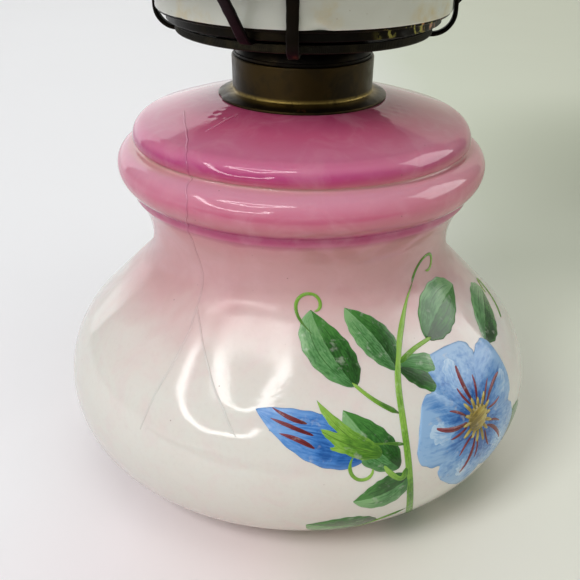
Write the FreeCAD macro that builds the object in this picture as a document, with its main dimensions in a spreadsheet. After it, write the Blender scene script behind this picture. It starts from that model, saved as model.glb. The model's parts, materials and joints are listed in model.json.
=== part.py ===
"""Oil lamp: a painted glass font, a brass burner, its tripod, a chimney and a ball shade.

All sizes are in millimetres. The origin is on the table, at the centre of the foot, with +Z up
and -Y towards the side that carries the painted flowers. The lamp comes apart the way a real
one does: the shade and the chimney lift off, the burner comes up out of the collar with its
wick, and a thumb wheel at the back turns two toothed wheels that raise the wick.
"""

import FreeCAD, Part
import math
import os
import re
import Sketcher

SIZES = {
    # The glass font, from the foot up.
    "foot_radius": 41.8,
    "foot_height": 1.8,
    "foot_width": 6.5,
    "underside_rise": 3.0,
    "glass_wall": 3.2,
    "bulb_radius": 63.6,
    "bulb_height": 26.7,
    "bulb_bend": 25.0,
    "waist_radius": 39.3,
    "waist_height": 66.3,
    "waist_bend": 11.8,
    "step_overhang": 4.4,
    "step_rise": 12.3,
    "step_height": 2.0,
    "step_lip": 0.4,
    "lower_rib_bulge": 3.7,
    "lower_rib_rise": 5.6,
    "crease_depth": 1.0,
    "crease_rise": 5.6,
    "crease_bend": 0.8,
    "upper_rib_setback": 4.1,
    "upper_rib_rise": 1.0,
    "shoulder_setback": 3.6,
    "shoulder_rise": 4.6,
    "shoulder_crown": 150.0,
    "crown_rise": 4.9,
    "collar_seat_radius": 21.6,
    "neck_radius": 16.4,
    "neck_bore": 14.4,
    "neck_rise": 3.4,
    # The collar that is plastered on to the glass neck.
    "collar_radius": 17.6,
    "collar_wall": 0.7,
    "collar_flare": 0.15,
    "collar_rise": 10.3,
    "flange_radius": 21.2,
    "flange_edge": 0.6,
    "flange_rise": 1.5,
    "flange_curve": 0.6,
    "rim_roll": 0.5,
    "thread_radius": 15.95,
    "thread_length": 6.4,
    "thread_play": 0.3,
    # The burner's drawn brass shells.
    "sheet": 0.6,
    "cup_depth": 6.0,
    "cup_flange_radius": 17.2,
    "dome_foot_radius": 16.9,
    "dome_top_radius": 14.4,
    "dome_rise": 3.6,
    "dome_bend": 5.5,
    "saucer_bore": 13.8,
    "saucer_floor_radius": 16.4,
    "saucer_shelf_width": 7.4,
    "saucer_setback": 2.0,
    "saucer_rise": 1.6,
    "saucer_rim": 2.0,
    "saucer_corner": 0.5,
    "drum_radius": 15.8,
    "drum_holes": 18,
    "drum_hole_radius": 0.9,
    # The pierced gallery plate and the ring that the chimney stands on.
    "plate_bore": 14.6,
    "inner_row_radius": 19.4,
    "inner_row_holes": 24,
    "outer_row_inset": 2.7,
    "outer_row_holes": 36,
    "air_hole_radius": 1.3,
    "ring_setback": 2.5,
    "ring_wall": 0.8,
    "ring_height": 2.8,
    "ring_lip": 2.0,
    # The cone that draws the air across the flame.
    "cone_radius": 27.0,
    "cone_skirt": 3.0,
    "cone_crown": 21.0,
    "cone_slot_length": 29.0,
    "cone_slot_width": 8.0,
    # The wick, its flat tube and the works that raise it.
    "wick_width": 22.2,
    "wick_thickness": 2.8,
    "wick_tail_height": 16.0,
    "wick_show": 1.4,
    "wick_play": 0.3,
    "tube_wall": 0.4,
    "tube_foot": 0.4,
    "tube_rise": 19.0,
    "shaft_radius": 1.1,
    "shaft_play": 0.05,
    "shaft_rise": 1.8,
    "shaft_overhang": 0.6,
    "wheel_radius": 4.8,
    "wheel_width": 2.4,
    "wheel_reach": 5.0,
    "wheel_teeth": 14,
    "tooth_depth": 1.0,
    "wheel_play": 0.3,
    "window_play": 0.4,
    "bracket_ear": 0.8,
    "bracket_play": 0.3,
    "bush_radius": 1.5,
    "bush_length": 5.4,
    "knob_radius": 9.0,
    "knob_clearance": 4.2,
    "knob_depth": 5.0,
    "knob_rim": 2.2,
    "knob_web": 1.2,
    "knob_hub_radius": 2.6,
    "knob_flutes": 24,
    "flute_radius": 0.55,
    # The four spring prongs round the chimney.
    "prong_play": 0.3,
    "prong_thickness": 1.0,
    "prong_width": 2.7,
    "prong_bend": 6.0,
    "prong_root_inset": 6.2,
    "prong_grip": 19.0,
    "prong_turn": 86.5,
    "rivet_radius": 0.8,
    "rivet_head_radius": 1.35,
    "rivet_head": 0.5,
    "prong_rivet_inset": 4.2,
    # The tripod that carries the shade.
    "arm_thickness": 1.0,
    "arm_width": 2.7,
    "arm_foot_radius": 21.6,
    "arm_tab": 1.3,
    "arm_play": 0.2,
    "arm_bend": 4.0,
    "arm_top": 6.4,
    "arm_turn": 9.5,
    "holder_radius": 52.2,
    "holder_wall": 0.8,
    "holder_height": 8.4,
    "holder_ledge": 3.8,
    "holder_bead": 0.6,
    # The opal chimney.
    "chimney_radius": 35.9,
    "chimney_wall": 2.4,
    "chimney_base": 26.0,
    "chimney_waist_inset": 2.9,
    "chimney_waist_rise": 18.0,
    "chimney_belly_swell": 3.2,
    "chimney_belly_rise": 40.0,
    "chimney_taper": 12.2,
    "chimney_taper_rise": 112.0,
    "chimney_lip_flare": 1.6,
    "chimney_lip_rise": 18.0,
    # The ball shade.
    "shade_play": 0.5,
    "shade_wall": 2.6,
    "shade_neck": 7.6,
    "shade_radius": 76.0,
    "shade_mouth_radius": 44.5,
    "shade_lip": 4.0,
}

doc = FreeCAD.newDocument("OilLamp")
sheet = doc.addObject("Spreadsheet::Sheet", "Dims")
for row, (word, amount) in enumerate(SIZES.items(), start=1):
    sheet.set(f"A{row}", word)
    sheet.set(f"B{row}", str(amount))
    sheet.setAlias(f"B{row}", word)
doc.recompute()

# The gallery and all that hangs round it follow the chimney.
RING_RADIUS = "(chimney_radius - ring_setback)"
SAUCER_RADIUS = f"({RING_RADIUS} - saucer_setback)"
SHELF_RADIUS = f"({SAUCER_RADIUS} - saucer_shelf_width)"
PRONG_RIVETS = f"({SAUCER_RADIUS} - prong_rivet_inset)"
PRONG_INSIDE = "(chimney_radius + prong_play)"
PRONG_OUTSIDE = f"({PRONG_INSIDE} + prong_thickness)"
ARM_BEND_START = f"({RING_RADIUS} + arm_play)"
KNOB_REACH = f"({PRONG_OUTSIDE} + knob_clearance)"
# The glass's ribs, each from the one below it, so that one size moves all that stands on it.
STEP_RADIUS = "(waist_radius + step_overhang)"
LOWER_RIB_RADIUS = f"({STEP_RADIUS} + lower_rib_bulge)"
UPPER_RIB_RADIUS = f"({LOWER_RIB_RADIUS} - upper_rib_setback)"
CREASE_RADIUS = f"({UPPER_RIB_RADIUS} - crease_depth)"
SHOULDER_RADIUS = f"({UPPER_RIB_RADIUS} - shoulder_setback)"
STEP_BASE = "(waist_height + step_rise)"
STEP_TOP = f"({STEP_BASE} + step_height)"
LOWER_RIB_HEIGHT = f"({STEP_TOP} + lower_rib_rise)"
CREASE_HEIGHT = f"({LOWER_RIB_HEIGHT} + crease_rise)"
UPPER_RIB_HEIGHT = f"({CREASE_HEIGHT} + upper_rib_rise)"
SHOULDER_HEIGHT = f"({UPPER_RIB_HEIGHT} + shoulder_rise)"
FONT_TOP = f"({SHOULDER_HEIGHT} + crown_rise)"
# Heights that several pieces share, as formulas of the sizes.
COLLAR_TOP = f"({FONT_TOP} + collar_rise)"
CUP_FLOOR = f"({COLLAR_TOP} - cup_depth)"
DOME_FOOT = f"({COLLAR_TOP} + sheet)"
SAUCER_FLOOR = f"({DOME_FOOT} + dome_rise)"
SAUCER_SHELF = f"({SAUCER_FLOOR} + saucer_rise)"
SAUCER_TOP = f"({SAUCER_SHELF} + saucer_rim)"
GALLERY = f"({SAUCER_TOP} + arm_thickness)"
PLATE_TOP = f"({GALLERY} + sheet)"
CHIMNEY_SEAT = f"({GALLERY} + ring_height)"
TUBE_TOP = f"({GALLERY} + tube_rise)"
HOLDER_BASE = f"({SAUCER_TOP} + holder_radius + arm_thickness - {ARM_BEND_START})"
SHADE_SEAT = f"({HOLDER_BASE} + holder_wall)"
ARM_RIVET_HEIGHT = f"({HOLDER_BASE} + arm_top / 2)"
SHAFT_HEIGHT = f"({DOME_FOOT} + shaft_rise)"
# The wick tube's outer length and width, round the wick and its play.
TUBE_LENGTH = "(wick_width + 2 * wick_play + 2 * tube_wall)"
TUBE_WIDTH = "(wick_thickness + 2 * wick_play + 2 * tube_wall)"
# The shaft lies beside the wick, so that its wheels just reach the wick's face.
SHAFT_OFFSET = "(wick_thickness / 2 + wheel_play + wheel_radius)"

PRONG_TURNS = {
    "prong_right": "prong_turn + 270",
    "prong_back": "prong_turn",
    "prong_left": "prong_turn + 90",
    "prong_front": "prong_turn + 180",
}
ARM_TURNS = {
    "shade_arm_right": "arm_turn",
    "shade_arm_back": "arm_turn + 120",
    "shade_arm_front": "arm_turn + 240",
}
QUARTER_TURN = 90
# A slope of 45 degrees puts the arms' bends this far along and down, in bend radii.
DIAGONAL = "sqrt(0.5)"
UPRIGHT = FreeCAD.Vector(0, 0, 1)
TO_THE_BACK = FreeCAD.Rotation(FreeCAD.Vector(1, 0, 0), -90)

pieces = []


def bound(formula):
    """Point each size's name in a formula at its cell in the sheet."""
    def cell(match):
        word = match.group()
        return f"Dims.{word}" if word in SIZES else word
    return re.sub(r"[a-z]\w*", cell, str(formula))


def size_of(formula):
    """Work a formula out to a plain number."""
    return float(sheet.evalExpression(bound(formula)))


def new_body(label):
    """Start a sub-part of its own."""
    body = doc.addObject("PartDesign::Body", label)
    body.Label = label
    pieces.append(body)
    return body


def new_sketch(body, name, plane):
    """Attach an empty sketch to one of the body's own planes."""
    sketch = body.newObject("Sketcher::SketchObject", name)
    support = next(item for item in body.Origin.OriginFeatures if item.Role == plane)
    sketch.AttachmentSupport = (support, [""])
    sketch.MapMode = "FlatFace"
    return sketch


def fix(sketch, kind, places, formula):
    """Add one dimension to a sketch and bind it to the sheet."""
    number = sketch.addConstraint(Sketcher.Constraint(kind, *places, size_of(formula)))
    sketch.setExpression(f"Constraints[{number}]", bound(formula))


def arc_between(start, finish, radius, turn):
    """Give the shorter arc from start to finish that turns left or right as it goes."""
    chord = finish - start
    rise = math.sqrt(max(radius ** 2 - (chord.Length / 2) ** 2, 0))
    to_left = FreeCAD.Vector(-chord.y, chord.x, 0).normalize()
    side = 1 if turn == "left" else -1
    centre = (start + finish) / 2 + to_left * rise * side
    first, last = (start, finish) if turn == "left" else (finish, start)
    from_angle = math.atan2(first.y - centre.y, first.x - centre.x)
    to_angle = math.atan2(last.y - centre.y, last.x - centre.x)
    if to_angle < from_angle:
        to_angle += 2 * math.pi
    return Part.ArcOfCircle(Part.Circle(centre, UPRIGHT, radius), from_angle, to_angle)


def add_loop(sketch, corners):
    """Draw a closed loop. A corner is (across, up), reached by a straight line, or
    (across, up, radius, turn), reached by an arc that turns left or right."""
    places = [FreeCAD.Vector(size_of(corner[0]), size_of(corner[1]), 0) for corner in corners]
    edges = []
    for count, corner in enumerate(corners):
        start = places[count - 1]
        finish = places[count]
        if len(corner) == 2:
            edge = sketch.addGeometry(Part.LineSegment(start, finish))
            edges.append((edge, 1, 2))
            continue
        radius, turn = corner[2:]
        edge = sketch.addGeometry(arc_between(start, finish, size_of(radius), turn))
        edges.append((edge, 1, 2) if turn == "left" else (edge, 2, 1))
        fix(sketch, "Radius", (edge,), radius)
    for count, (edge, first, last) in enumerate(edges):
        following = edges[(count + 1) % len(edges)]
        sketch.addConstraint(Sketcher.Constraint("Coincident", edge, last, *following[:2]))
        fix(sketch, "DistanceX", (-1, 1, edge, last), corners[count][0])
        fix(sketch, "DistanceY", (-1, 1, edge, last), corners[count][1])


def add_circle(sketch, across, up, radius):
    """Draw a circle at a bound place."""
    middle = FreeCAD.Vector(size_of(across), size_of(up), 0)
    edge = sketch.addGeometry(Part.Circle(middle, UPRIGHT, size_of(radius)))
    fix(sketch, "DistanceX", (-1, 1, edge, 3), across)
    fix(sketch, "DistanceY", (-1, 1, edge, 3), up)
    fix(sketch, "Radius", (edge,), radius)


def revolve(body, corners):
    """Turn a half section once about the body's upright axis."""
    section = new_sketch(body, f"{body.Name}_section", "XZ_Plane")
    add_loop(section, corners)
    turn = body.newObject("PartDesign::Revolution", f"{body.Name}_turn")
    turn.Profile = section
    turn.ReferenceAxis = (section, ["V_Axis"])
    turn.Angle = 360
    body.Tip = turn
    return body


def pad(body, sketch, length, midplane=False):
    """Thicken a sketch, to one side or to both."""
    feature = body.newObject("PartDesign::Pad", f"{body.Name}_pad")
    feature.Profile = sketch
    feature.SideType = "Symmetric" if midplane else "One side"
    feature.setExpression("Length", bound(length))
    body.Tip = feature
    return feature


def pocket(body, sketch, length, side="ahead"):
    """Cut a sketch's loops away on the side that its normal points to (ahead), on the other
    one (behind) or on both, and make sure that something was cut."""
    doc.recompute()
    before = body.Shape.Volume
    feature = body.newObject("PartDesign::Pocket", f"{sketch.Name}_cut")
    feature.Profile = sketch
    feature.SideType = "Symmetric" if side == "both" else "One side"
    feature.setExpression("Length", bound(length))
    feature.Reversed = side == "ahead"
    body.Tip = feature
    doc.recompute()
    if body.Shape.Volume >= before:
        raise RuntimeError(f"{sketch.Name} cut nothing")
    return feature


def ring_of(body, feature, copies):
    """Repeat a feature round the body's upright axis."""
    pattern = body.newObject("PartDesign::PolarPattern", f"{feature.Name}_ring")
    pattern.Originals = [feature]
    axis = next(item for item in body.Origin.OriginFeatures if item.Role == "Z_Axis")
    pattern.Axis = (axis, [""])
    pattern.Angle = 360
    pattern.setExpression("Occurrences", bound(copies))
    body.Tip = pattern
    return pattern


def place(piece, across="0", back="0", up="0", rotation=FreeCAD.Rotation()):
    """Put a piece in place, with its position bound to the sheet."""
    piece.Placement = FreeCAD.Placement(FreeCAD.Vector(), rotation)
    piece.setExpression("Placement.Base.x", bound(across))
    piece.setExpression("Placement.Base.y", bound(back))
    piece.setExpression("Placement.Base.z", bound(up))


def turn_round(piece, turn):
    """Turn a piece about the lamp's axis, with its angle bound to the sheet."""
    piece.Placement.Rotation = FreeCAD.Rotation(UPRIGHT, size_of(turn))
    if size_of(turn):
        piece.setExpression("Placement.Rotation.Angle", bound(turn))


def back_along(line):
    """Walk a line of corners the other way, so that its left turns become right turns."""
    other = {"left": "right", "right": "left"}
    walked = [line[-1][:2]]
    for before, corner in zip(line[-2::-1], line[:0:-1]):
        if len(corner) == 4:
            walked.append((*before[:2], corner[2], other[corner[3]]))
        else:
            walked.append(before[:2])
    return walked


def fullest_arc(fullest, end):
    """Give the radius of the arc that stands upright at its fullest or narrowest point and
    runs through an end point: (difference across squared + difference up squared), over twice
    the difference across."""
    across = f"(({fullest[0]}) - ({end[0]}))"
    up = f"(({fullest[1]}) - ({end[1]}))"
    return f"(({across} ^ 2 + {up} ^ 2) / (2 * abs({across})))"


def crown_radius(half_width, rise):
    """Give the radius of a round crown: (half width squared + rise squared) over twice the rise."""
    return f"((({half_width}) ^ 2 + ({rise}) ^ 2) / (2 * ({rise})))"


def flank_ends(inset):
    """Give the two ends of the straight flank between the bulb's bend and the waist's bend,
    where the line touches both circles."""
    low_centre = (f"(bulb_radius - {inset} - bulb_bend)", "bulb_height")
    high_centre = (f"(waist_radius - {inset} + waist_bend)", "waist_height")
    across = f"({high_centre[0]} - {low_centre[0]})"
    up = f"({high_centre[1]} - {low_centre[1]})"
    bends = "(bulb_bend + waist_bend)"
    lean = f"(atan2({up}; {across}) - acos({bends} / sqrt({across} ^ 2 + {up} ^ 2)))"
    low_end = (f"{low_centre[0]} + bulb_bend * cos({lean})",
               f"{low_centre[1]} + bulb_bend * sin({lean})")
    high_end = (f"{high_centre[0]} - waist_bend * cos({lean})",
                f"{high_centre[1]} - waist_bend * sin({lean})")
    return low_end, high_end


def band(inner, outer, low, high):
    """Give the corners of a plain rectangular section."""
    return [(inner, low), (outer, low), (outer, high), (inner, high)]


# ---------------------------------------------------------------- the font and its collar

def font_skin(foot, inset):
    """Give the glass's line from the foot to the shoulder: a full bulb, a straight flank, a
    drawn-in waist, a small step, two ribs and the shoulder, all moved in by an inset."""
    bulb = (f"bulb_radius - {inset}", "bulb_height")
    waist = (f"waist_radius - {inset}", "waist_height")
    step = (f"{STEP_RADIUS} - {inset}", STEP_BASE)
    step_top = (f"{STEP_RADIUS} + step_lip - {inset}", STEP_TOP)
    lower_rib = (f"{LOWER_RIB_RADIUS} - {inset}", LOWER_RIB_HEIGHT)
    crease_foot = (f"{CREASE_RADIUS} + crease_bend - {inset}", f"{CREASE_HEIGHT} - crease_bend")
    crease = (f"{CREASE_RADIUS} - {inset}", CREASE_HEIGHT)
    upper_rib = (f"{UPPER_RIB_RADIUS} - {inset}", UPPER_RIB_HEIGHT)
    shoulder = (f"{SHOULDER_RADIUS} - {inset}", f"{SHOULDER_HEIGHT} - {inset}")
    flank_foot, flank_top = flank_ends(inset)
    return [
        foot,
        (*bulb, fullest_arc(bulb, foot), "left"),
        (*flank_foot, "bulb_bend", "left"),
        flank_top,
        (*waist, "waist_bend", "right"),
        (*step, fullest_arc(waist, step), "right"),
        step_top,
        (*lower_rib, fullest_arc(lower_rib, step_top), "left"),
        (*crease_foot, fullest_arc(lower_rib, crease_foot), "left"),
        (*crease, "crease_bend", "right"),
        (*upper_rib, fullest_arc(upper_rib, crease), "left"),
        (*shoulder, fullest_arc(upper_rib, shoulder), "left"),
    ]


def make_font():
    """Blown glass, hollow for the oil, with a low foot and a short neck for the collar."""
    foot = ("foot_radius", "foot_height")
    outside = font_skin(foot, "0")
    outside[0] = (*foot, "foot_height", "left")
    floor = ("foot_radius - glass_wall", "underside_rise + glass_wall")
    revolve(new_body("font_glass"), [
        ("0", "underside_rise"),
        ("foot_radius - foot_width", "underside_rise"),
        ("foot_radius - foot_width", "0"),
        ("foot_radius - foot_height", "0"),
        *outside,
        ("collar_seat_radius", FONT_TOP, "shoulder_crown", "left"),
        ("neck_radius", FONT_TOP),
        ("neck_radius", f"{FONT_TOP} + neck_rise"),
        ("neck_bore", f"{FONT_TOP} + neck_rise"),
        ("neck_bore", f"{FONT_TOP} - glass_wall"),
        *back_along(font_skin(floor, "glass_wall")),
        ("0", "underside_rise + glass_wall"),
    ])


def make_collar():
    """Spun brass: a sloping flange on the glass and an upright rim, rolled in at its top and
    lined with the wall that takes the burner's thread."""
    rim = "collar_radius + collar_flare"
    lining_foot = f"{COLLAR_TOP} - thread_length"
    revolve(new_body("collar"), [
        ("collar_radius - collar_wall", FONT_TOP),
        ("flange_radius", FONT_TOP),
        ("flange_radius", f"{FONT_TOP} + flange_edge"),
        ("collar_radius + flange_curve", f"{FONT_TOP} + flange_rise"),
        ("collar_radius", f"{FONT_TOP} + flange_rise + flange_curve", "flange_curve", "right"),
        (rim, f"{COLLAR_TOP} - rim_roll"),
        (f"{rim} - rim_roll", COLLAR_TOP, "rim_roll", "left"),
        ("thread_radius", COLLAR_TOP),
        ("thread_radius", lining_foot),
        ("collar_radius - collar_wall", lining_foot),
    ])


def make_plaster():
    """The plaster that fills the space between the glass neck and the collar."""
    revolve(new_body("collar_plaster"),
            band("neck_radius", "collar_radius - collar_wall", FONT_TOP, f"{FONT_TOP} + neck_rise"))


# ---------------------------------------------------------------- the burner's shells

def slot_corners(length, width):
    """Give the corners of a slot with round ends, centred on the axis and long along Y."""
    half = f"({width}) / 2"
    end = f"({length}) / 2"
    straight = f"({length} - {width}) / 2"
    return [
        (half, straight),
        ("0", end, half, "left"),
        (f"-{half}", straight, half, "left"),
        (f"-{half}", f"-{straight}"),
        ("0", f"-{end}", half, "left"),
        (half, f"-{straight}", half, "left"),
    ]


def make_cup():
    """The plug that screws into the collar: a shallow cup whose flange rests on the rim and
    whose floor holds the wick tube."""
    plug = "thread_radius - thread_play"
    body = revolve(new_body("burner_cup"), [
        ("0", CUP_FLOOR),
        (plug, CUP_FLOOR),
        (plug, COLLAR_TOP),
        ("cup_flange_radius", COLLAR_TOP),
        ("cup_flange_radius", DOME_FOOT),
        (f"{plug} - sheet", DOME_FOOT),
        (f"{plug} - sheet", f"{CUP_FLOOR} + sheet"),
        ("0", f"{CUP_FLOOR} + sheet"),
    ])
    slot = new_sketch(body, "cup_slot", "XY_Plane")
    add_loop(slot, slot_corners(TUBE_LENGTH, TUBE_WIDTH))
    pocket(body, slot, DOME_FOOT)


def make_dome():
    """The dark shell above the collar, drawn in to the saucer, with a hole for the bush."""
    body = revolve(new_body("burner_dome"), [
        ("dome_foot_radius - sheet", DOME_FOOT, "dome_bend", "right"),
        ("dome_foot_radius", DOME_FOOT),
        ("dome_top_radius", SAUCER_FLOOR, "dome_bend", "left"),
        ("dome_top_radius - sheet", SAUCER_FLOOR),
    ])
    hole = new_sketch(body, "dome_hole", "XZ_Plane")
    add_circle(hole, SHAFT_OFFSET, SHAFT_HEIGHT, "bush_radius")
    pocket(body, hole, "dome_foot_radius", side="behind")


def make_saucer():
    """The air saucer: it slopes up from the dome to a flat shelf and ends in an upright rim."""
    shelf_top = f"{SAUCER_SHELF} + sheet"
    floor_top = f"{SAUCER_FLOOR} + sheet"
    body = revolve(new_body("air_saucer"), [
        ("saucer_bore", SAUCER_FLOOR),
        ("saucer_floor_radius", SAUCER_FLOOR),
        (SHELF_RADIUS, SAUCER_SHELF),
        (f"{SAUCER_RADIUS} - saucer_corner", SAUCER_SHELF),
        (SAUCER_RADIUS, f"{SAUCER_SHELF} + saucer_corner", "saucer_corner", "left"),
        (SAUCER_RADIUS, SAUCER_TOP),
        (f"{SAUCER_RADIUS} - sheet", SAUCER_TOP),
        (f"{SAUCER_RADIUS} - sheet", shelf_top),
        (SHELF_RADIUS, shelf_top),
        ("saucer_floor_radius", floor_top),
        ("saucer_bore", floor_top),
    ])
    hole = new_sketch(body, "saucer_rivet_hole", "XY_Plane")
    add_circle(hole, PRONG_RIVETS, "0", "rivet_radius")
    ring_of(body, pocket(body, hole, SAUCER_TOP), len(PRONG_TURNS))
    turn_round(body, "prong_turn")


def make_drum():
    """The pierced drum that lifts the gallery off the saucer and lets air in to the wick."""
    body = revolve(new_body("air_drum"),
                   band("drum_radius - sheet", "drum_radius", f"{SAUCER_FLOOR} + sheet", GALLERY))
    hole = new_sketch(body, "drum_hole", "XZ_Plane")
    add_circle(hole, "0", f"({SAUCER_FLOOR} + sheet + {GALLERY}) / 2", "drum_hole_radius")
    ring_of(body, pocket(body, hole, "drum_radius", side="behind"), "drum_holes")


def make_gallery_plate():
    """The flat pierced plate: an inner row of air holes feeds the flame and an outer row feeds
    the chimney."""
    edge = f"{RING_RADIUS} - ring_wall"
    body = revolve(new_body("gallery_plate"), band("plate_bore", edge, GALLERY, PLATE_TOP))
    rows = {"inner_row": "inner_row_radius", "outer_row": f"{edge} - outer_row_inset"}
    for row, radius in rows.items():
        hole = new_sketch(body, f"{row}_hole", "XY_Plane")
        add_circle(hole, radius, "0", "air_hole_radius")
        ring_of(body, pocket(body, hole, PLATE_TOP), f"{row}_holes")


def make_gallery_ring():
    """The upright ring round the plate, turned out at its top to carry the chimney's foot."""
    revolve(new_body("gallery_ring"), [
        (f"{RING_RADIUS} - ring_wall", GALLERY),
        (RING_RADIUS, GALLERY),
        (RING_RADIUS, f"{CHIMNEY_SEAT} - sheet"),
        (f"{RING_RADIUS} + ring_lip", f"{CHIMNEY_SEAT} - sheet"),
        (f"{RING_RADIUS} + ring_lip", CHIMNEY_SEAT),
        (f"{RING_RADIUS} - ring_wall", CHIMNEY_SEAT),
    ])


def make_cone():
    """The flame cone: a skirt and a round crown, slotted for the flame."""
    skirt_top = f"{PLATE_TOP} + cone_skirt"
    outer_crown = crown_radius("cone_radius", "cone_crown")
    inner_crown = crown_radius("cone_radius - sheet", "cone_crown - sheet")
    body = revolve(new_body("flame_cone"), [
        ("cone_radius - sheet", PLATE_TOP),
        ("cone_radius", PLATE_TOP),
        ("cone_radius", skirt_top),
        ("0", f"{skirt_top} + cone_crown", outer_crown, "left"),
        ("0", f"{skirt_top} + cone_crown - sheet"),
        ("cone_radius - sheet", skirt_top, inner_crown, "right"),
    ])
    slot = new_sketch(body, "flame_slot", "XY_Plane")
    add_loop(slot, slot_corners("cone_slot_length", "cone_slot_width"))
    pocket(body, slot, f"{skirt_top} + cone_crown")


# ---------------------------------------------------------------- the wick and its works

def make_wick_tube():
    """The flat tube that guides the wick, with two windows for the toothed wheels."""
    body = new_body("wick_tube")
    section = new_sketch(body, "tube_section", "XY_Plane")
    section.setExpression("AttachmentOffset.Base.z", bound(f"{CUP_FLOOR} - tube_foot"))
    add_loop(section, slot_corners(TUBE_LENGTH, TUBE_WIDTH))
    inner_length = "(wick_width + 2 * wick_play)"
    add_loop(section, slot_corners(inner_length, "(wick_thickness + 2 * wick_play)"))
    pad(body, section, f"{TUBE_TOP} - {CUP_FLOOR} + tube_foot")
    windows = new_sketch(body, "wheel_windows", "YZ_Plane")
    aside = "(wheel_width / 2 + window_play)"
    bite = f"({SHAFT_OFFSET} - {TUBE_WIDTH} / 2)"
    tall = f"(sqrt(wheel_radius ^ 2 - {bite} ^ 2) + window_play)"
    for side in ("wheel_reach", "-wheel_reach"):
        add_loop(windows, band(f"{side} - {aside}", f"{side} + {aside}",
                               f"{SHAFT_HEIGHT} - {tall}", f"{SHAFT_HEIGHT} + {tall}"))
    pocket(body, windows, TUBE_WIDTH)


def make_wick():
    """The flat woven wick, from the oil to just above its tube."""
    body = new_body("wick")
    section = new_sketch(body, "wick_section", "XY_Plane")
    section.setExpression("AttachmentOffset.Base.z", bound("wick_tail_height"))
    add_loop(section, slot_corners("wick_width", "wick_thickness"))
    pad(body, section, f"{TUBE_TOP} + wick_show - wick_tail_height")


def rod(name, radius, start, length):
    """Make a round rod on the shaft's line, from a start along Y."""
    cylinder = doc.addObject("Part::Cylinder", name)
    cylinder.setExpression("Radius", bound(radius))
    cylinder.setExpression("Height", bound(length))
    place(cylinder, SHAFT_OFFSET, start, SHAFT_HEIGHT, TO_THE_BACK)
    return cylinder


def make_shaft():
    """The shaft, from the front bearing to the thumb wheel at the back."""
    start = "-(wheel_reach + wheel_width / 2 + bracket_play + bracket_ear + shaft_overhang)"
    pieces.append(rod("wick_shaft", "shaft_radius", start,
                      f"{KNOB_REACH} + knob_depth - knob_web - ({start})"))


def make_spur_wheel(label, reach):
    """A small toothed wheel that bites the wick through a window of the tube. At the rim its
    teeth and its notches share the pitch evenly."""
    body = new_body(label)
    disc = new_sketch(body, f"{label}_disc", "XY_Plane")
    add_circle(disc, "0", "0", "wheel_radius")
    add_circle(disc, "0", "0", "shaft_radius")
    pad(body, disc, "wheel_width", midplane=True)
    notch = new_sketch(body, f"{label}_notch", "XY_Plane")
    gape = f"(2 * wheel_radius * sin({QUARTER_TURN} / wheel_teeth))"
    add_loop(notch, [
        ("wheel_radius - tooth_depth", "0"),
        ("wheel_radius + tooth_depth", f"-{gape}"),
        ("wheel_radius + tooth_depth", gape),
    ])
    ring_of(body, pocket(body, notch, "2 * wheel_width", side="both"), "wheel_teeth")
    place(body, SHAFT_OFFSET, reach, SHAFT_HEIGHT, TO_THE_BACK)


def make_bearing(label, reach):
    """An ear on the tube's face with a bore for the shaft. The bore's tool runs past the ear
    by the ear's own thickness on both sides."""
    ear = doc.addObject("Part::Box", f"{label}_ear")
    half = "(2 * shaft_radius)"
    ear.setExpression("Length", bound(f"{SHAFT_OFFSET} + {half} - {TUBE_WIDTH} / 2"))
    ear.setExpression("Width", bound("bracket_ear"))
    ear.setExpression("Height", bound(f"2 * {half}"))
    place(ear, f"{TUBE_WIDTH} / 2", reach, f"{SHAFT_HEIGHT} - {half}")
    bore = rod(f"{label}_bore", "shaft_radius + shaft_play", f"{reach} - bracket_ear",
               "3 * bracket_ear")
    bearing = doc.addObject("Part::Cut", label)
    bearing.Base = ear
    bearing.Tool = bore
    pieces.append(bearing)


def make_bush():
    """The bush in the dome's wall that the shaft runs through."""
    start = "dome_top_radius - 2 * sheet"
    outer = rod("bush_outside", "bush_radius", start, "bush_length")
    bore = rod("bush_bore", "shaft_radius + shaft_play", f"{start} - sheet", "bush_length + 2 * sheet")
    bush = doc.addObject("Part::Cut", "shaft_bush")
    bush.Base = outer
    bush.Tool = bore
    pieces.append(bush)


def make_knob():
    """The thumb wheel: a dished, fluted disc on a hub, with a small button at its centre."""
    rim_foot = "knob_depth - knob_rim"
    dish = "knob_depth - knob_web / 2"
    body = revolve(new_body("wick_knob"), [
        ("shaft_radius", "0"),
        ("knob_hub_radius", "0"),
        ("knob_hub_radius", rim_foot),
        ("knob_radius", rim_foot),
        ("knob_radius", "knob_depth"),
        ("knob_radius - knob_web", "knob_depth"),
        ("knob_radius - 2 * knob_web", dish),
        ("knob_hub_radius", dish),
        ("knob_hub_radius - knob_web / 2", "knob_depth"),
        ("0", "knob_depth"),
        ("0", "knob_depth - knob_web"),
        ("shaft_radius", "knob_depth - knob_web"),
    ])
    flute = new_sketch(body, "knob_flute", "XY_Plane")
    add_circle(flute, "knob_radius", "0", "flute_radius")
    ring_of(body, pocket(body, flute, "knob_depth"), "knob_flutes")
    place(body, SHAFT_OFFSET, KNOB_REACH, SHAFT_HEIGHT, TO_THE_BACK)


# ---------------------------------------------------------------- prongs, tripod and rivets

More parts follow.
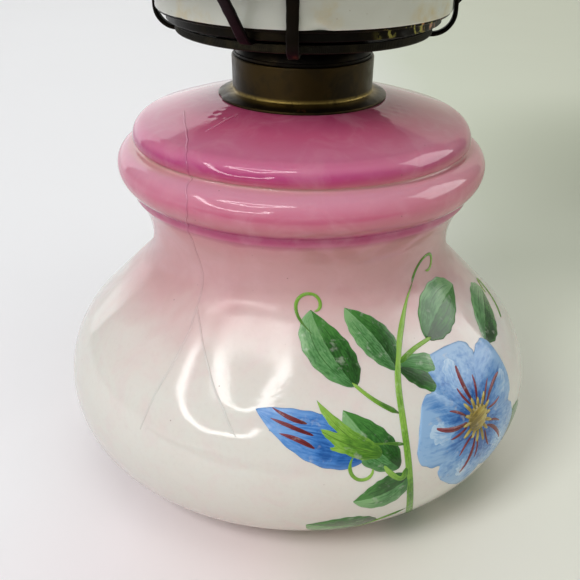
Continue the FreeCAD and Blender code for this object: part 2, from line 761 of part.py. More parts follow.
def make_prong(label, turn):
    """A spring strip, riveted under the saucer, that turns up round the chimney's foot."""
    body = new_body(label)
    root = f"{SAUCER_RADIUS} - prong_root_inset"
    under = f"({SAUCER_SHELF} - prong_thickness)"
    tip = f"{CHIMNEY_SEAT} + prong_grip"
    section = new_sketch(body, f"{label}_section", "XZ_Plane")
    add_loop(section, [
        (root, under),
        (f"{PRONG_OUTSIDE} - prong_bend", under),
        (PRONG_OUTSIDE, f"{under} + prong_bend", "prong_bend", "left"),
        (PRONG_OUTSIDE, tip),
        (PRONG_INSIDE, tip),
        (PRONG_INSIDE, f"{under} + prong_bend"),
        (f"{PRONG_OUTSIDE} - prong_bend", SAUCER_SHELF, "prong_bend - prong_thickness", "right"),
        (root, SAUCER_SHELF),
    ])
    pad(body, section, "prong_width", midplane=True)
    hole = new_sketch(body, f"{label}_hole", "XY_Plane")
    add_circle(hole, PRONG_RIVETS, "0", "rivet_radius")
    pocket(body, hole, SAUCER_SHELF)
    turn_round(body, turn)


def make_arm(label, turn):
    """A flat arm of the tripod: its foot is held between the saucer and the gallery, and it
    leans out at 45 degrees and turns up against the shade ring."""
    body = new_body(label)
    face = "(holder_radius + arm_thickness)"
    inner_bend = "(arm_bend - arm_thickness)"
    section = new_sketch(body, f"{label}_section", "XZ_Plane")
    add_loop(section, [
        ("arm_foot_radius", f"{SAUCER_TOP} - arm_tab"),
        ("arm_foot_radius + arm_thickness", f"{SAUCER_TOP} - arm_tab"),
        ("arm_foot_radius + arm_thickness", SAUCER_TOP),
        (ARM_BEND_START, SAUCER_TOP),
        (f"{ARM_BEND_START} + arm_bend * {DIAGONAL}",
         f"{SAUCER_TOP} + arm_bend - arm_bend * {DIAGONAL}", "arm_bend", "left"),
        (f"{face} - arm_bend + arm_bend * {DIAGONAL}", f"{HOLDER_BASE} - arm_bend * {DIAGONAL}"),
        (face, HOLDER_BASE, "arm_bend", "left"),
        (face, f"{HOLDER_BASE} + arm_top"),
        ("holder_radius", f"{HOLDER_BASE} + arm_top"),
        ("holder_radius", HOLDER_BASE),
        (f"{face} - arm_bend + {inner_bend} * {DIAGONAL}",
         f"{HOLDER_BASE} - {inner_bend} * {DIAGONAL}", inner_bend, "right"),
        (f"{ARM_BEND_START} + {inner_bend} * {DIAGONAL}",
         f"{SAUCER_TOP} + arm_bend - {inner_bend} * {DIAGONAL}"),
        (ARM_BEND_START, GALLERY, inner_bend, "right"),
        ("arm_foot_radius", GALLERY),
    ])
    pad(body, section, "arm_width", midplane=True)
    hole = new_sketch(body, f"{label}_hole", "YZ_Plane")
    add_circle(hole, "0", ARM_RIVET_HEIGHT, "rivet_radius")
    pocket(body, hole, f"2 * {face}")
    turn_round(body, turn)


def make_shade_ring():
    """The tripod's ring: an upright band with a bead at its top and a ledge inside it for the
    shade's neck."""
    top = f"({HOLDER_BASE} + holder_height)"
    body = revolve(new_body("shade_ring"), [
        ("holder_radius - holder_wall - holder_ledge", HOLDER_BASE),
        ("holder_radius", HOLDER_BASE),
        ("holder_radius", f"{top} - 2 * holder_bead"),
        ("holder_radius + holder_bead", f"{top} - holder_bead", "holder_bead", "left"),
        ("holder_radius", top, "holder_bead", "left"),
        ("holder_radius - holder_wall", top),
        ("holder_radius - holder_wall", SHADE_SEAT),
        ("holder_radius - holder_wall - holder_ledge", SHADE_SEAT),
    ])
    hole = new_sketch(body, "ring_rivet_hole", "YZ_Plane")
    add_circle(hole, "0", ARM_RIVET_HEIGHT, "rivet_radius")
    ring_of(body, pocket(body, hole, "2 * holder_radius"), len(ARM_TURNS))
    turn_round(body, "arm_turn")


def rivet(name, length, heads):
    """A rivet along its own Z from its first head's seat, with a head at one end or at both."""
    shank = doc.addObject("Part::Cylinder", f"{name}_shank")
    shank.setExpression("Radius", bound("rivet_radius"))
    shank.setExpression("Height", bound(length))
    parts = [shank]
    for head in range(heads):
        cap = doc.addObject("Part::Cone", f"{name}_head_{head}")
        wide, narrow = ("Radius2", "Radius1") if head == 0 else ("Radius1", "Radius2")
        cap.setExpression(wide, bound("rivet_head_radius"))
        cap.setExpression(narrow, bound("rivet_radius"))
        cap.setExpression("Height", bound("rivet_head"))
        cap.setExpression("Placement.Base.z", bound("-rivet_head" if head == 0 else length))
        parts.append(cap)
    joined = doc.addObject("Part::MultiFuse", name)
    joined.Shapes = parts
    return joined


def rivet_group(label, turns, length, heads, seat, rotation=FreeCAD.Rotation()):
    """The same rivet on each of several turned parts, as one piece. The seat is its place on a
    part that points along +X."""
    turned = []
    for name, turn in turns.items():
        single = rivet(f"{name}_rivet", length, heads)
        place(single, *seat, rotation)
        copy = doc.addObject("Part::Compound", f"{name}_rivet_turned")
        copy.Links = [single]
        turn_round(copy, turn)
        turned.append(copy)
    group = doc.addObject("Part::Compound", label)
    group.Links = turned
    pieces.append(group)


def make_rivets():
    """One rivet through each prong and the saucer's shelf, and one through each arm and the
    shade ring, flush on the inside so that the shade clears it."""
    under = f"{SAUCER_SHELF} - prong_thickness"
    rivet_group("prong_rivets", PRONG_TURNS, "prong_thickness + sheet", 2,
                (PRONG_RIVETS, "0", under))
    rivet_group("arm_rivets", ARM_TURNS, "arm_thickness + holder_wall", 1,
                ("holder_radius + arm_thickness", "0", ARM_RIVET_HEIGHT),
                FreeCAD.Rotation(FreeCAD.Vector(0, 1, 0), -90))


# ---------------------------------------------------------------- chimney and shade

def s_curve(lower, upper, turn):
    """Join two upright points with two arcs that meet halfway: each arc stands upright at its
    own end, so they share one slope in the middle."""
    halfway = (f"(({lower[0]}) + ({upper[0]})) / 2", f"(({lower[1]}) + ({upper[1]})) / 2")
    back = "right" if turn == "left" else "left"
    return [
        (*halfway, fullest_arc(lower, halfway), turn),
        (*upper, fullest_arc(upper, halfway), back),
    ]


def chimney_skin(inset):
    """Give the chimney's line: a straight foot, a slight waist and belly, a long taper and an
    open lip."""
    foot = (f"chimney_radius - {inset}", CHIMNEY_SEAT)
    base = (foot[0], f"{CHIMNEY_SEAT} + chimney_base")
    waist = (f"{base[0]} - chimney_waist_inset", f"{base[1]} + chimney_waist_rise")
    belly = (f"{waist[0]} + chimney_belly_swell", f"{waist[1]} + chimney_belly_rise")
    throat = (f"{belly[0]} - chimney_taper", f"{belly[1]} + chimney_taper_rise")
    lip = (f"{throat[0]} + chimney_lip_flare", f"{throat[1]} + chimney_lip_rise")
    return [
        foot,
        base,
        *s_curve(base, waist, "left"),
        *s_curve(waist, belly, "right"),
        *s_curve(belly, throat, "left"),
        (*lip, fullest_arc(throat, lip), "right"),
    ]


def make_chimney():
    """Opal glass, the same wall all the way up."""
    revolve(new_body("chimney"), chimney_skin("0") + back_along(chimney_skin("chimney_wall")))


def shade_skin(inset):
    """Give the shade's line: an upright neck, a round ball and an open mouth with a low lip.
    The ball's centre is where its circle meets the top of the neck."""
    neck = "(holder_radius - holder_wall - shade_play)"
    neck_top = f"({SHADE_SEAT} + shade_neck)"
    centre = f"({neck_top} + sqrt(shade_radius ^ 2 - {neck} ^ 2))"
    ball = f"(shade_radius - {inset})"
    mouth = f"(shade_mouth_radius - {inset})"
    mouth_height = f"({centre} + sqrt({ball} ^ 2 - {mouth} ^ 2))"
    lip_height = f"{centre} + sqrt(shade_radius ^ 2 - shade_mouth_radius ^ 2) + shade_lip"
    return [
        (f"{neck} - {inset}", SHADE_SEAT),
        (f"{neck} - {inset}", f"{centre} - sqrt({ball} ^ 2 - ({neck} - {inset}) ^ 2)"),
        (mouth, mouth_height, ball, "left"),
        (mouth, lip_height),
    ]


def make_shade():
    """The opal ball shade that stands in the tripod's ring."""
    revolve(new_body("ball_shade"), shade_skin("0") + back_along(shade_skin("shade_wall")))


# ---------------------------------------------------------------- the whole lamp

make_font()
make_collar()
make_plaster()
make_cup()
make_dome()
make_saucer()
make_drum()
make_gallery_plate()
make_gallery_ring()
make_cone()
make_wick_tube()
make_wick()
make_shaft()
make_spur_wheel("spur_wheel_front", "-wheel_reach")
make_spur_wheel("spur_wheel_back", "wheel_reach")
BEARING_REACH = "wheel_reach + wheel_width / 2 + bracket_play"
make_bearing("shaft_bearing_front", f"-({BEARING_REACH} + bracket_ear)")
make_bearing("shaft_bearing_back", f"{BEARING_REACH}")
make_bush()
make_knob()
for prong, turn in PRONG_TURNS.items():
    make_prong(prong, turn)
for arm, turn in ARM_TURNS.items():
    make_arm(arm, turn)
make_shade_ring()
make_rivets()
make_chimney()
make_shade()
doc.recompute()

for item in doc.Objects:
    if {"Invalid", "Error"} & set(item.State):
        raise RuntimeError(f"{item.Label} did not build: {item.State}")
for piece in pieces:
    if piece.Shape.isNull() or not piece.Shape.isValid():
        raise RuntimeError(f"{piece.Label} has no valid shape")

os.makedirs("parts", exist_ok=True)
for piece in pieces:
    piece.Shape.exportStep(f"parts/{piece.Label}.step")
    box = piece.Shape.optimalBoundingBox()
    print(f"{piece.Label:22s} {len(piece.Shape.Solids)} solid(s), {piece.Shape.Volume:10.1f} mm3,"
          f" z {box.ZMin:6.1f} to {box.ZMax:6.1f}")
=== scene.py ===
# %% [markdown]
# # A painted glass oil lamp
#
# A squat glass font carries a brass collar. A flat-wick burner screws into the collar, four
# spring prongs hold the opal chimney, and a tripod carries a ball shade round it. The frame
# brings in the working parts at their real sizes. They could be dressed in finishes only, but
# the glass and the sheet brass are seen close up, so those pieces are made again with softer
# edges, dents and paint, and the frame's own shapes serve for the rest.

# %% Load the frame
import json
import math

import bpy
import numpy as np
from mathutils import Matrix, Vector


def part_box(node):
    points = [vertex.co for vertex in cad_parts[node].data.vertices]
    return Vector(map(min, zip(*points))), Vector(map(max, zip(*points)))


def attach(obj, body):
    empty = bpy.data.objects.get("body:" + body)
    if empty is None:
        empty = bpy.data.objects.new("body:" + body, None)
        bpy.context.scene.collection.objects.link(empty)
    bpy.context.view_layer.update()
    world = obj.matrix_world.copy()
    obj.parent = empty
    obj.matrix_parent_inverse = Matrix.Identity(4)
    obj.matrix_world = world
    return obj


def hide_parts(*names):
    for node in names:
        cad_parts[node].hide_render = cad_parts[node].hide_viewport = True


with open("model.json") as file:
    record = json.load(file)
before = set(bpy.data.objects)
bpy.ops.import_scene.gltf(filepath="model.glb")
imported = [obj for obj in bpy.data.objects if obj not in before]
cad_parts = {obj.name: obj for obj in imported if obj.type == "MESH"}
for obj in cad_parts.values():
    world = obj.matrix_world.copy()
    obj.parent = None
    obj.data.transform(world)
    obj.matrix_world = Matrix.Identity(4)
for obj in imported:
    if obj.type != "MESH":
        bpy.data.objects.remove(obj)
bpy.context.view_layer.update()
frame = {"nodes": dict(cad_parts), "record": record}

MM = 0.001


def levels(label):
    """A frame piece's lowest and highest level in millimetres."""
    return [corner.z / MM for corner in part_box(label)]


# %% [markdown]
# ## Drawing half sections
#
# Glass is blown into a mould and turned, and metal spinners press brass on a former, so every
# round piece here comes from one half section. It could be a curve object with a Screw
# modifier. A list of corners in millimetres is easier to read and to check: each corner is
# reached by a straight line, or by an arc of a given radius that turns left or right.

# %% Arcs and lines
def arc_points(start, finish, radius, turn, step):
    """Walk the shorter arc from start to finish. The centre lies on the chord's middle line,
    at the square root of (radius squared - half the chord squared) to the turning side."""
    chord = finish - start
    half = np.hypot(*chord) / 2
    to_left = np.array([-chord[1], chord[0]]) / (2 * half)
    side = 1 if turn == "left" else -1
    centre = (start + finish) / 2 + side * to_left * math.sqrt(max(radius ** 2 - half ** 2, 0))
    first = math.atan2(start[1] - centre[1], start[0] - centre[0])
    last = math.atan2(finish[1] - centre[1], finish[0] - centre[0])
    swing = side * ((side * (last - first)) % (2 * math.pi))
    count = max(4, math.ceil(abs(swing) * radius / step))
    angles = first + swing * np.arange(1, count + 1) / count
    return centre + radius * np.column_stack([np.cos(angles), np.sin(angles)])


def drawn(corners, step=0.6):
    """Join corners into a line of points. A corner of four values ends an arc."""
    points = [np.array(corners[0][:2], float)]
    for corner in corners[1:]:
        place = np.array(corner[:2], float)
        if len(corner) == 4:
            points.extend(arc_points(points[-1], place, corner[2], corner[3], step))
        else:
            points.append(place)
    return np.array(points)


print("a quarter circle of 10 mm takes", len(drawn([(10, 0), (0, 10, 10, "left")])), "points")

# %% [markdown]
# ## Eased corners
#
# Sheet metal folds with a small radius, and glass leaves the fire with soft edges. A Bevel
# modifier could round them on the finished mesh. Easing the section costs less, because one
# corner of the section becomes a whole ring of the piece.

# %% Ease the corners
SHARP_BEND = math.radians(25)


def eased(line, reach, steps=4):
    """Round each corner of a closed line that turns by more than the sharp bend. The corner
    gives way to the curve (1-t)^2 before + 2t(1-t) corner + t^2 after."""
    before = np.roll(line, 1, axis=0)
    after = np.roll(line, -1, axis=0)
    inward, onward = line - before, after - line
    lengths_in = np.hypot(*inward.T)
    lengths_on = np.hypot(*onward.T)
    turn = (inward[:, 0] * onward[:, 0] + inward[:, 1] * onward[:, 1]) / (lengths_in * lengths_on)
    sharp = turn < math.cos(SHARP_BEND)
    share = np.linspace(0, 1, steps)[:, None]
    points = []
    for place, here in enumerate(line):
        if not sharp[place] or here[0] == 0:
            points.append(here)
            continue
        back = here - inward[place] * min(reach / lengths_in[place], 0.45)
        ahead = here + onward[place] * min(reach / lengths_on[place], 0.45)
        points.extend((1 - share) ** 2 * back + 2 * share * (1 - share) * here + share ** 2 * ahead)
    return np.array(points)


square = np.array([(1, 0), (2, 0), (2, 1), (1, 1)], float)
print("an eased square has", len(eased(square, 0.1)), "points")

# %% [markdown]
# ## From grids to meshes
#
# Each new piece is one grid of points or a few, wrapped round where the piece is round and
# closed to a point where it meets the axis or a tip. The faces could be added one by one with
# bmesh. Whole arrays are quicker and leave no gaps, since every row joins the next.

# %% Faces of a closed grid
def skin_of(grid):
    """Give the points and four-cornered faces of one closed grid (rows, columns, 3). Columns
    wrap round. Rows wrap round too, unless the first and last rows shrink to points."""
    rows, columns = grid.shape[:2]
    spread = np.ptp(grid, axis=1).max(axis=1)
    index = np.arange(rows * columns).reshape(rows, columns)
    if spread[0] < 1e-9 and spread[-1] < 1e-9:
        index[0] = index[0, 0]
        index[-1] = index[-1, 0]
        low, high = index[:-1], index[1:]
    else:
        low, high = index, np.roll(index, -1, axis=0)
    faces = np.stack([low, np.roll(low, -1, axis=1), np.roll(high, -1, axis=1), high], axis=-1)
    faces = faces.reshape(-1, 4)
    points = grid.reshape(-1, 3)
    first, second, third, fourth = points[faces].transpose(1, 0, 2)
    volume = np.einsum("ij,ij->", first, np.cross(second, third) + np.cross(third, fourth))
    return points, faces if volume > 0 else faces[:, ::-1]


print("grids can be closed into skins")

# %% One mesh with its body and slot
finishes = {}


def solid(name, grids, body, slot, stands_for=(), finish=None, marks=None):
    """Make one mesh from closed grids. Marks are extra numbers on the points, kept as
    attributes for the finish."""
    points, faces = [], []
    count = 0
    for grid in grids:
        more_points, more_faces = skin_of(grid)
        points.append(more_points)
        faces.append(more_faces + count)
        count += len(more_points)
    points, faces = np.vstack(points), np.vstack(faces)
    used, faces = np.unique(faces, return_inverse=True)
    points, faces = points[used], faces.reshape(-1, 4)
    keep = faces != np.roll(faces, 1, axis=1)
    sizes = keep.sum(axis=1)
    mesh = bpy.data.meshes.new(name)
    mesh.vertices.add(len(points))
    mesh.vertices.foreach_set("co", points.astype(np.float32).ravel())
    mesh.loops.add(int(sizes.sum()))
    mesh.loops.foreach_set("vertex_index", faces[keep].astype(np.int32))
    mesh.polygons.add(len(sizes))
    mesh.polygons.foreach_set("loop_start", np.r_[0, np.cumsum(sizes)[:-1]].astype(np.int32))
    mesh.update(calc_edges=True)
    mesh.shade_smooth()
    for mark, values in (marks or {}).items():
        kept = np.concatenate([part.ravel() for part in values])[used]
        mesh.attributes.new(mark, "FLOAT", "POINT").data.foreach_set("value", kept.astype(np.float32))
    if mesh.validate():
        raise RuntimeError(f"{name} has a faulty mesh")
    made = bpy.data.objects.new(name, mesh)
    bpy.context.scene.collection.objects.link(made)
    mesh.materials.append(finishes[finish or slot])
    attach(made, body)
    if stands_for:
        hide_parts(*stands_for)
    print(f"{name}: {len(points)} points, {int((sizes - 2).sum())} triangles")


print("skins can become pieces")

# %% [markdown]
# ## Turned pieces
#
# A spun shell and a blown wall are round because the work turned. A lathe would leave them
# perfect, so the turning helper takes a second function that moves points: that makes dents,
# milling and wavy glass real shapes, which also catch the light at the edges.

# %% Turn a section
def turned(line, around, moved=None):
    """Turn a section in millimetres about the axis: x = r cos(angle), y = r sin(angle). The
    moved function may shift r and z by where they lie."""
    angles = np.arange(around) * 2 * math.pi / around
    radius = np.repeat(line[:, :1], around, axis=1)
    height = np.repeat(line[:, 1:], around, axis=1)
    if moved:
        radius, height = moved(radius, height, angles[None, :])
    return MM * np.stack([radius * np.cos(angles), radius * np.sin(angles), height], axis=-1)


print("a turned square has", turned(eased(square, 0.1), 12).shape[:2], "rows and columns")

# %% [markdown]
# ## Finishes as small recipes
#
# Brass, glass and enamel differ in colour, gloss and relief, and each wears in its own way.
# Painted images could show that, but they would blur close up and need unwrapping. Here each
# finish is a recipe of noise, cells and ramps on the piece's own coordinates, so the marks
# stay on the metal and the glass when a joint moves.

# %% Screen colours
def tone(red, green, blue):
    """Turn a screen colour of 0 to 255 into the shader's linear values."""
    screen = np.array([red, green, blue]) / 255
    linear = np.where(screen <= 0.04045, screen / 12.92, ((screen + 0.055) / 1.055) ** 2.4)
    return (*linear.tolist(), 1.0)


print(f"a screen grey of 128 is {tone(128, 128, 128)[0]:.3f} in linear light")


# %% A finish built step by step
class Finish:
    """One material, built up step by step."""

    def __init__(self, slot):
        self.material = bpy.data.materials.new(slot)
        self.material.use_nodes = True
        self.nodes = self.material.node_tree.nodes
        self.shader = self.nodes["Principled BSDF"]
        self.place = self.nodes.new("ShaderNodeTexCoord").outputs["Object"]
        finishes[slot] = self.material

    def feed(self, socket, value):
        """Link another step's output, or set a plain value."""
        if isinstance(value, bpy.types.NodeSocket):
            self.material.node_tree.links.new(value, socket)
        else:
            socket.default_value = value

    def step(self, kind, inputs, result, **settings):
        """Add one node and give back its result."""
        node = self.nodes.new(kind)
        for setting, value in settings.items():
            setattr(node, setting, value)
        for socket, value in inputs.items():
            self.feed(node.inputs[socket], value)
        return node.outputs[result]

    def stretched(self, across, back, up):
        """The piece's coordinates, scaled unevenly for grain and streaks."""
        inputs = {"Vector": self.place, "Scale": (across, back, up)}
        return self.step("ShaderNodeMapping", inputs, "Vector")

    def noise(self, size, detail=5.0, roughness=0.55, distortion=0.0, at=None):
        """Soft noise whose patches are about this many millimetres wide."""
        inputs = {"Vector": at or self.place, "Scale": 1 / (size * MM), "Detail": detail,
                  "Roughness": roughness, "Distortion": distortion}
        return self.step("ShaderNodeTexNoise", inputs, "Fac")

    def cells(self, size):
        """Distance to the nearest of many points scattered about this many millimetres
        apart, as a share of that."""
        inputs = {"Vector": self.place, "Scale": 1 / (size * MM)}
        return self.step("ShaderNodeTexVoronoi", inputs, "Distance")

    def coordinate(self, axis):
        """The place along one axis in metres."""
        return self.step("ShaderNodeSeparateXYZ", {"Vector": self.place}, axis)

    def up(self):
        """Height in metres."""
        return self.coordinate("Z")

    def away(self, centre):
        """Distance from one place in metres."""
        return self.step("ShaderNodeVectorMath", {0: self.place, 1: centre}, "Value", operation="DISTANCE")

    def mark(self, name):
        """A number that the mesh carries on its points."""
        return self.step("ShaderNodeAttribute", {}, "Fac", attribute_name=name)

    def window(self, value, low, high, start=0.0, finish=1.0):
        """Ease from start to finish as the value goes from low to high."""
        inputs = {"Value": value, "From Min": low, "From Max": high, "To Min": start,
                  "To Max": finish}
        return self.step("ShaderNodeMapRange", inputs, "Result", interpolation_type="SMOOTHSTEP")

    def sum(self, operation, first, second=0.0):
        """Work out one step of arithmetic."""
        return self.step("ShaderNodeMath", {0: first, 1: second}, "Value", operation=operation)

    def ramp(self, value, stops):
        """Colours along a value, as (place, colour) stops."""
        node = self.nodes.new("ShaderNodeValToRGB")
        self.feed(node.inputs["Fac"], value)
        band = node.color_ramp.elements
        while len(band) < len(stops):
            band.new(0.5)
        for element, (place, colour) in zip(band, stops):
            element.position = place
        for element, (place, colour) in zip(band, stops):
            element.color = colour
        return node.outputs["Color"]

    def blend(self, share, first, second):
        """Mix a share of the second colour into the first."""
        inputs = {0: share, 6: first, 7: second}
        return self.step("ShaderNodeMix", inputs, 2, data_type="RGBA", clamp_factor=True)

    def bump(self, height, depth, under=None):
        """Relief of this many millimetres for a height of one."""
        inputs = {"Height": height, "Distance": depth * MM}
        if under:
            inputs["Normal"] = under
        return self.step("ShaderNodeBump", inputs, "Normal")

    def glow(self, colour, strength):
        """Only give off light: black, rough and without gloss."""
        self.surface(Base_Color=(0, 0, 0, 1), Roughness=1.0, Specular_IOR_Level=0.0,
                     Emission_Color=colour, Emission_Strength=strength)

    def surface(self, **inputs):
        """Feed the shader, with words joined by underscores for its sockets."""
        for socket, value in inputs.items():
            self.feed(self.shader.inputs[socket.replace("_", " ")], value)


print("finish recipes ready")

# %% [markdown]
# ## Cased glass
#
# The font was blown in two layers, deep pink over opal, and then heated so that the pink
# struck at the ribs and faded to a warm white on the bulb. Two real layers of glass would
# render slowly and show little. One ramp of colours up the height, drifting a little, gives
# the same bands. Round the crease between the ribs the ramp also holds painted light: a
# painted highlight in the crease and painted shade on the upper rib's lower edge.

# %% Pink by height
glass = Finish("cased_glass")
HEIGHTS = 110.0
level = glass.up()
cloud = glass.noise(24.0, detail=3.0, distortion=0.6)
drift = glass.sum("MULTIPLY", glass.window(cloud, 0.3, 0.7, -1.0, 1.0),
                  glass.window(level, 0.072, 0.079, 0.0030, 0.0003))
colours_by_height = [
    (0, tone(208, 201, 190)),
    (18, tone(214, 211, 202)),
    (42, tone(220, 217, 210)),
    (50, tone(220, 211, 205)),
    (56, tone(213, 189, 186)),
    (61, tone(204, 165, 165)),
    (66, tone(197, 151, 153)),
    (71, tone(197, 146, 148)),
    (76.5, tone(202, 142, 148)),
    (78.6, tone(182, 94, 124)),
    (79.4, tone(170, 60, 106)),
    (81.2, tone(170, 62, 108)),
    (82.4, tone(190, 112, 126)),
    (84.0, tone(192, 112, 128)),
    (86.0, tone(194, 102, 130)),
    # Painted light round the crease between the ribs: the pale stops at 90.6 and 91.5 mm are a painted
    # highlight where the crease catches light, and the dark stops from 92.1 to 94.4 mm are painted shade on
    # the upper rib's lower edge.
    (90.6, tone(212, 146, 168)),
    (91.5, tone(214, 166, 160)),
    (92.1, tone(184, 100, 118)),
    (93.2, tone(170, 60, 104)),
    (94.4, tone(176, 66, 120)),
    (95.6, tone(200, 108, 146)),
    (98.0, tone(206, 116, 148)),
    (100.2, tone(200, 92, 128)),
    (102.5, tone(158, 56, 94)),
]
pink_by_height = [(height / HEIGHTS, colour) for height, colour in colours_by_height]
drifted = glass.sum("DIVIDE", glass.sum("ADD", level, drift), HEIGHTS * MM)
warmer = glass.sum("MULTIPLY", glass.window(glass.coordinate("X"), 0.004, 0.060, 0.0, 0.40),
                   glass.window(level, 0.081, 0.088))
tinted = glass.blend(warmer, glass.ramp(drifted, pink_by_height), tone(208, 150, 142))
print("colours up the glass:", len(pink_by_height))

# %% [markdown]
# ## Cloud, dust and gloss
#
# Old cased glass has faint clouds, fly specks and a hard gloss that waves a little and is
# duller where the waist was worked longest. A picture of dirt could be laid on it. Noise at
# three sizes is enough, and it never repeats round the bulb.

# %% Clouds and specks
washy = glass.blend(glass.window(glass.noise(9.0, detail=4.0, distortion=1.0), 0.42, 0.75, 0.0, 0.16),
                    tinted, tone(222, 176, 186))
mottled = glass.blend(glass.window(glass.noise(1.1, detail=6.0), 0.45, 0.8, 0.0, 0.05), washy,
                      tone(150, 110, 100))
dusty = glass.sum("MULTIPLY", glass.window(glass.cells(3.2), 0.03, 0.07, 0.6, 0.0),
                  glass.window(glass.noise(8.0, detail=2.0), 0.5, 0.62))
specked = glass.blend(dusty, mottled, tone(110, 76, 72))
print("clouds, bloom and specks added")

# %% Gloss of the glass
FLANK, WAIST_TOP, STEP_FOOT = (50 * MM, 55 * MM), (66 * MM, 72 * MM), (72 * MM, 78 * MM)
plain_gloss = glass.window(level, *STEP_FOOT, 0.06, 0.045)
dull_waist = glass.sum("MULTIPLY", glass.window(level, *FLANK, 0.0, 0.14),
                       glass.window(level, *WAIST_TOP, 1.0, 0.0))
handled = glass.window(glass.noise(9.0, detail=8.0), 0.35, 0.75, 0.0, 0.04)
glass.surface(
    Base_Color=specked,
    Roughness=glass.sum("ADD", glass.sum("ADD", plain_gloss, dull_waist), handled),
    Normal=glass.bump(glass.noise(0.8, detail=3.0), 0.010,
                      glass.bump(glass.noise(13.0, detail=1.0), 0.07)),
    IOR=1.52,
    Subsurface_Weight=0.2,
    Subsurface_Radius=(0.004, 0.0024, 0.002),
    Subsurface_Scale=0.6,
)
print("glass finish:", len(glass.nodes), "nodes")

# %% [markdown]
# ## Aged brass
#
# Old brass has a warm body under a dark film, green where damp sat in it, coppery where the
# zinc has gone, fine turning lines and a few pits. Each piece could have its own material
# built by hand. One recipe with a share for each stain keeps them alike, as parts that aged
# together are.

# %% The brass recipe
OLIVE = tone(84, 82, 52)
COPPER = tone(150, 94, 64)


def aged_brass(slot, body, film, damp=OLIVE, copper=COPPER, film_share=0.3, damp_share=0.15,
               copper_share=0.05, gloss=0.3, pitted=0.6):
    """Brass under a film. The shares say how much of the surface each stain covers."""
    brass = Finish(slot)
    patches = brass.noise(9.0, detail=6.0, roughness=0.55, distortion=0.6)
    stains = brass.noise(4.2, detail=7.0, roughness=0.6, distortion=0.8)
    spots = brass.noise(5.6, detail=5.0, roughness=0.55, at=brass.stretched(1.0, 1.0, 0.45))
    filmed = brass.blend(brass.window(patches, 0.66 - film_share, 0.92 - film_share), body, film)
    damped = brass.blend(brass.window(stains, 0.72 - damp_share, 0.90 - damp_share, 0.0, 0.8), filmed,
                         damp)
    coppered = brass.blend(brass.window(spots, 0.74 - copper_share, 0.84 - copper_share, 0.0, 0.85),
                           damped, copper)
    pit_places = brass.sum("MULTIPLY", brass.window(brass.cells(1.5), 0.05, 0.12, 1.0, 0.0),
                           brass.window(stains, 0.70 - 0.2 * pitted, 0.80 - 0.2 * pitted))
    grain = brass.noise(0.45, detail=4.0, at=brass.stretched(1.0, 1.0, 5.0))
    shaded = brass.blend(brass.window(grain, 0.35, 0.75, 0.0, 0.22), coppered, film)
    rough = brass.window(stains, 0.3, 0.75, gloss, gloss + 0.16)
    brass.surface(
        Base_Color=brass.blend(pit_places, shaded, tone(20, 16, 11)),
        Metallic=brass.window(patches, 0.35, 0.75, 1.0, 0.85),
        Roughness=brass.sum("ADD", rough, brass.window(pit_places, 0.0, 1.0, 0.0, 0.3)),
        Normal=brass.bump(grain, 0.012, brass.bump(patches, 0.05, brass.bump(
            brass.window(pit_places, 0.0, 1.0, 1.0, 0.0), 0.05))),
    )
    brass.bare = shaded
    return brass


print("brass recipe ready")

# %% [markdown]
# ## The collar's brass
#
# The collar's fold carries a painted highlight, a bright gold line where light catches the
# fold, while the film stays dark round it. An edge mask could find every fold. Only this one
# shines on the lamp, so a band at its height, broken up by noise, does it.

# %% Collar brass
collar_metal = aged_brass("collar_brass", tone(60, 48, 26), tone(36, 29, 16), tone(48, 44, 26),
                          film_share=0.22, copper_share=0.06, gloss=0.31)
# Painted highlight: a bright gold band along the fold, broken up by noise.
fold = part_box("collar")[0].z + 1.8 * MM
below = collar_metal.window(collar_metal.up(), fold - 0.9 * MM, fold)
above = collar_metal.window(collar_metal.up(), fold, fold + 1.0 * MM, 1.0, 0.0)
on_fold = collar_metal.sum("MULTIPLY", below, above)
uneven = collar_metal.window(collar_metal.noise(2.2), 0.3, 0.5, 0.3, 1.0)
highlighted = collar_metal.sum("MULTIPLY", on_fold, uneven)
collar_metal.bare = collar_metal.blend(highlighted, collar_metal.bare, tone(136, 116, 62))
collar_metal.surface(Base_Color=collar_metal.bare)
print(f"the rubbed fold is at {fold / MM:.1f} mm")

# %% [markdown]
# ## The burner's brasses
#
# The burner's shells sat in oil smoke and are nearly black. Rivets, wheels and the knob are
# handled or hidden, and stay brighter. The ring under the chimney carries two painted
# reflections at the front right, where the pink glass and the green leaves of the font shine in
# its brass. A painted mask would need unwrapping, so the painted flecks fade with the distance
# from each place.

# %% Painted reflections
def painted_reflection(brass, centre, reach, colours, share):
    """Paint a reflection round one place: its colours show there in uneven flecks."""
    flecks = brass.noise(1.6, detail=5.0, roughness=0.65, at=brass.stretched(1.0, 1.0, 0.6))
    here = brass.sum("MULTIPLY", brass.window(brass.away(centre), 0.4 * reach, reach, 1.0, 0.0),
                     brass.window(flecks, 0.62 - share, 0.70 - share))
    bare = brass.ramp(brass.noise(2.6, detail=3.0), colours)
    brass.bare = brass.blend(here, brass.bare, bare)
    brass.surface(Base_Color=brass.bare)


print("places can be worn")

# %% Burner brasses
aged_brass("burner_brass", tone(38, 32, 23), tone(18, 15, 12), tone(30, 27, 19), film_share=0.40,
           copper_share=0.0, gloss=0.34)
aged_brass("saucer_brass", tone(58, 52, 38), tone(27, 24, 18), tone(44, 44, 32), film_share=0.34,
           copper_share=0.0, gloss=0.32)
gallery_metal = aged_brass("gallery_brass", tone(42, 36, 26), tone(20, 17, 13), tone(34, 32, 23),
                           film_share=0.36, copper_share=0.01, gloss=0.34)
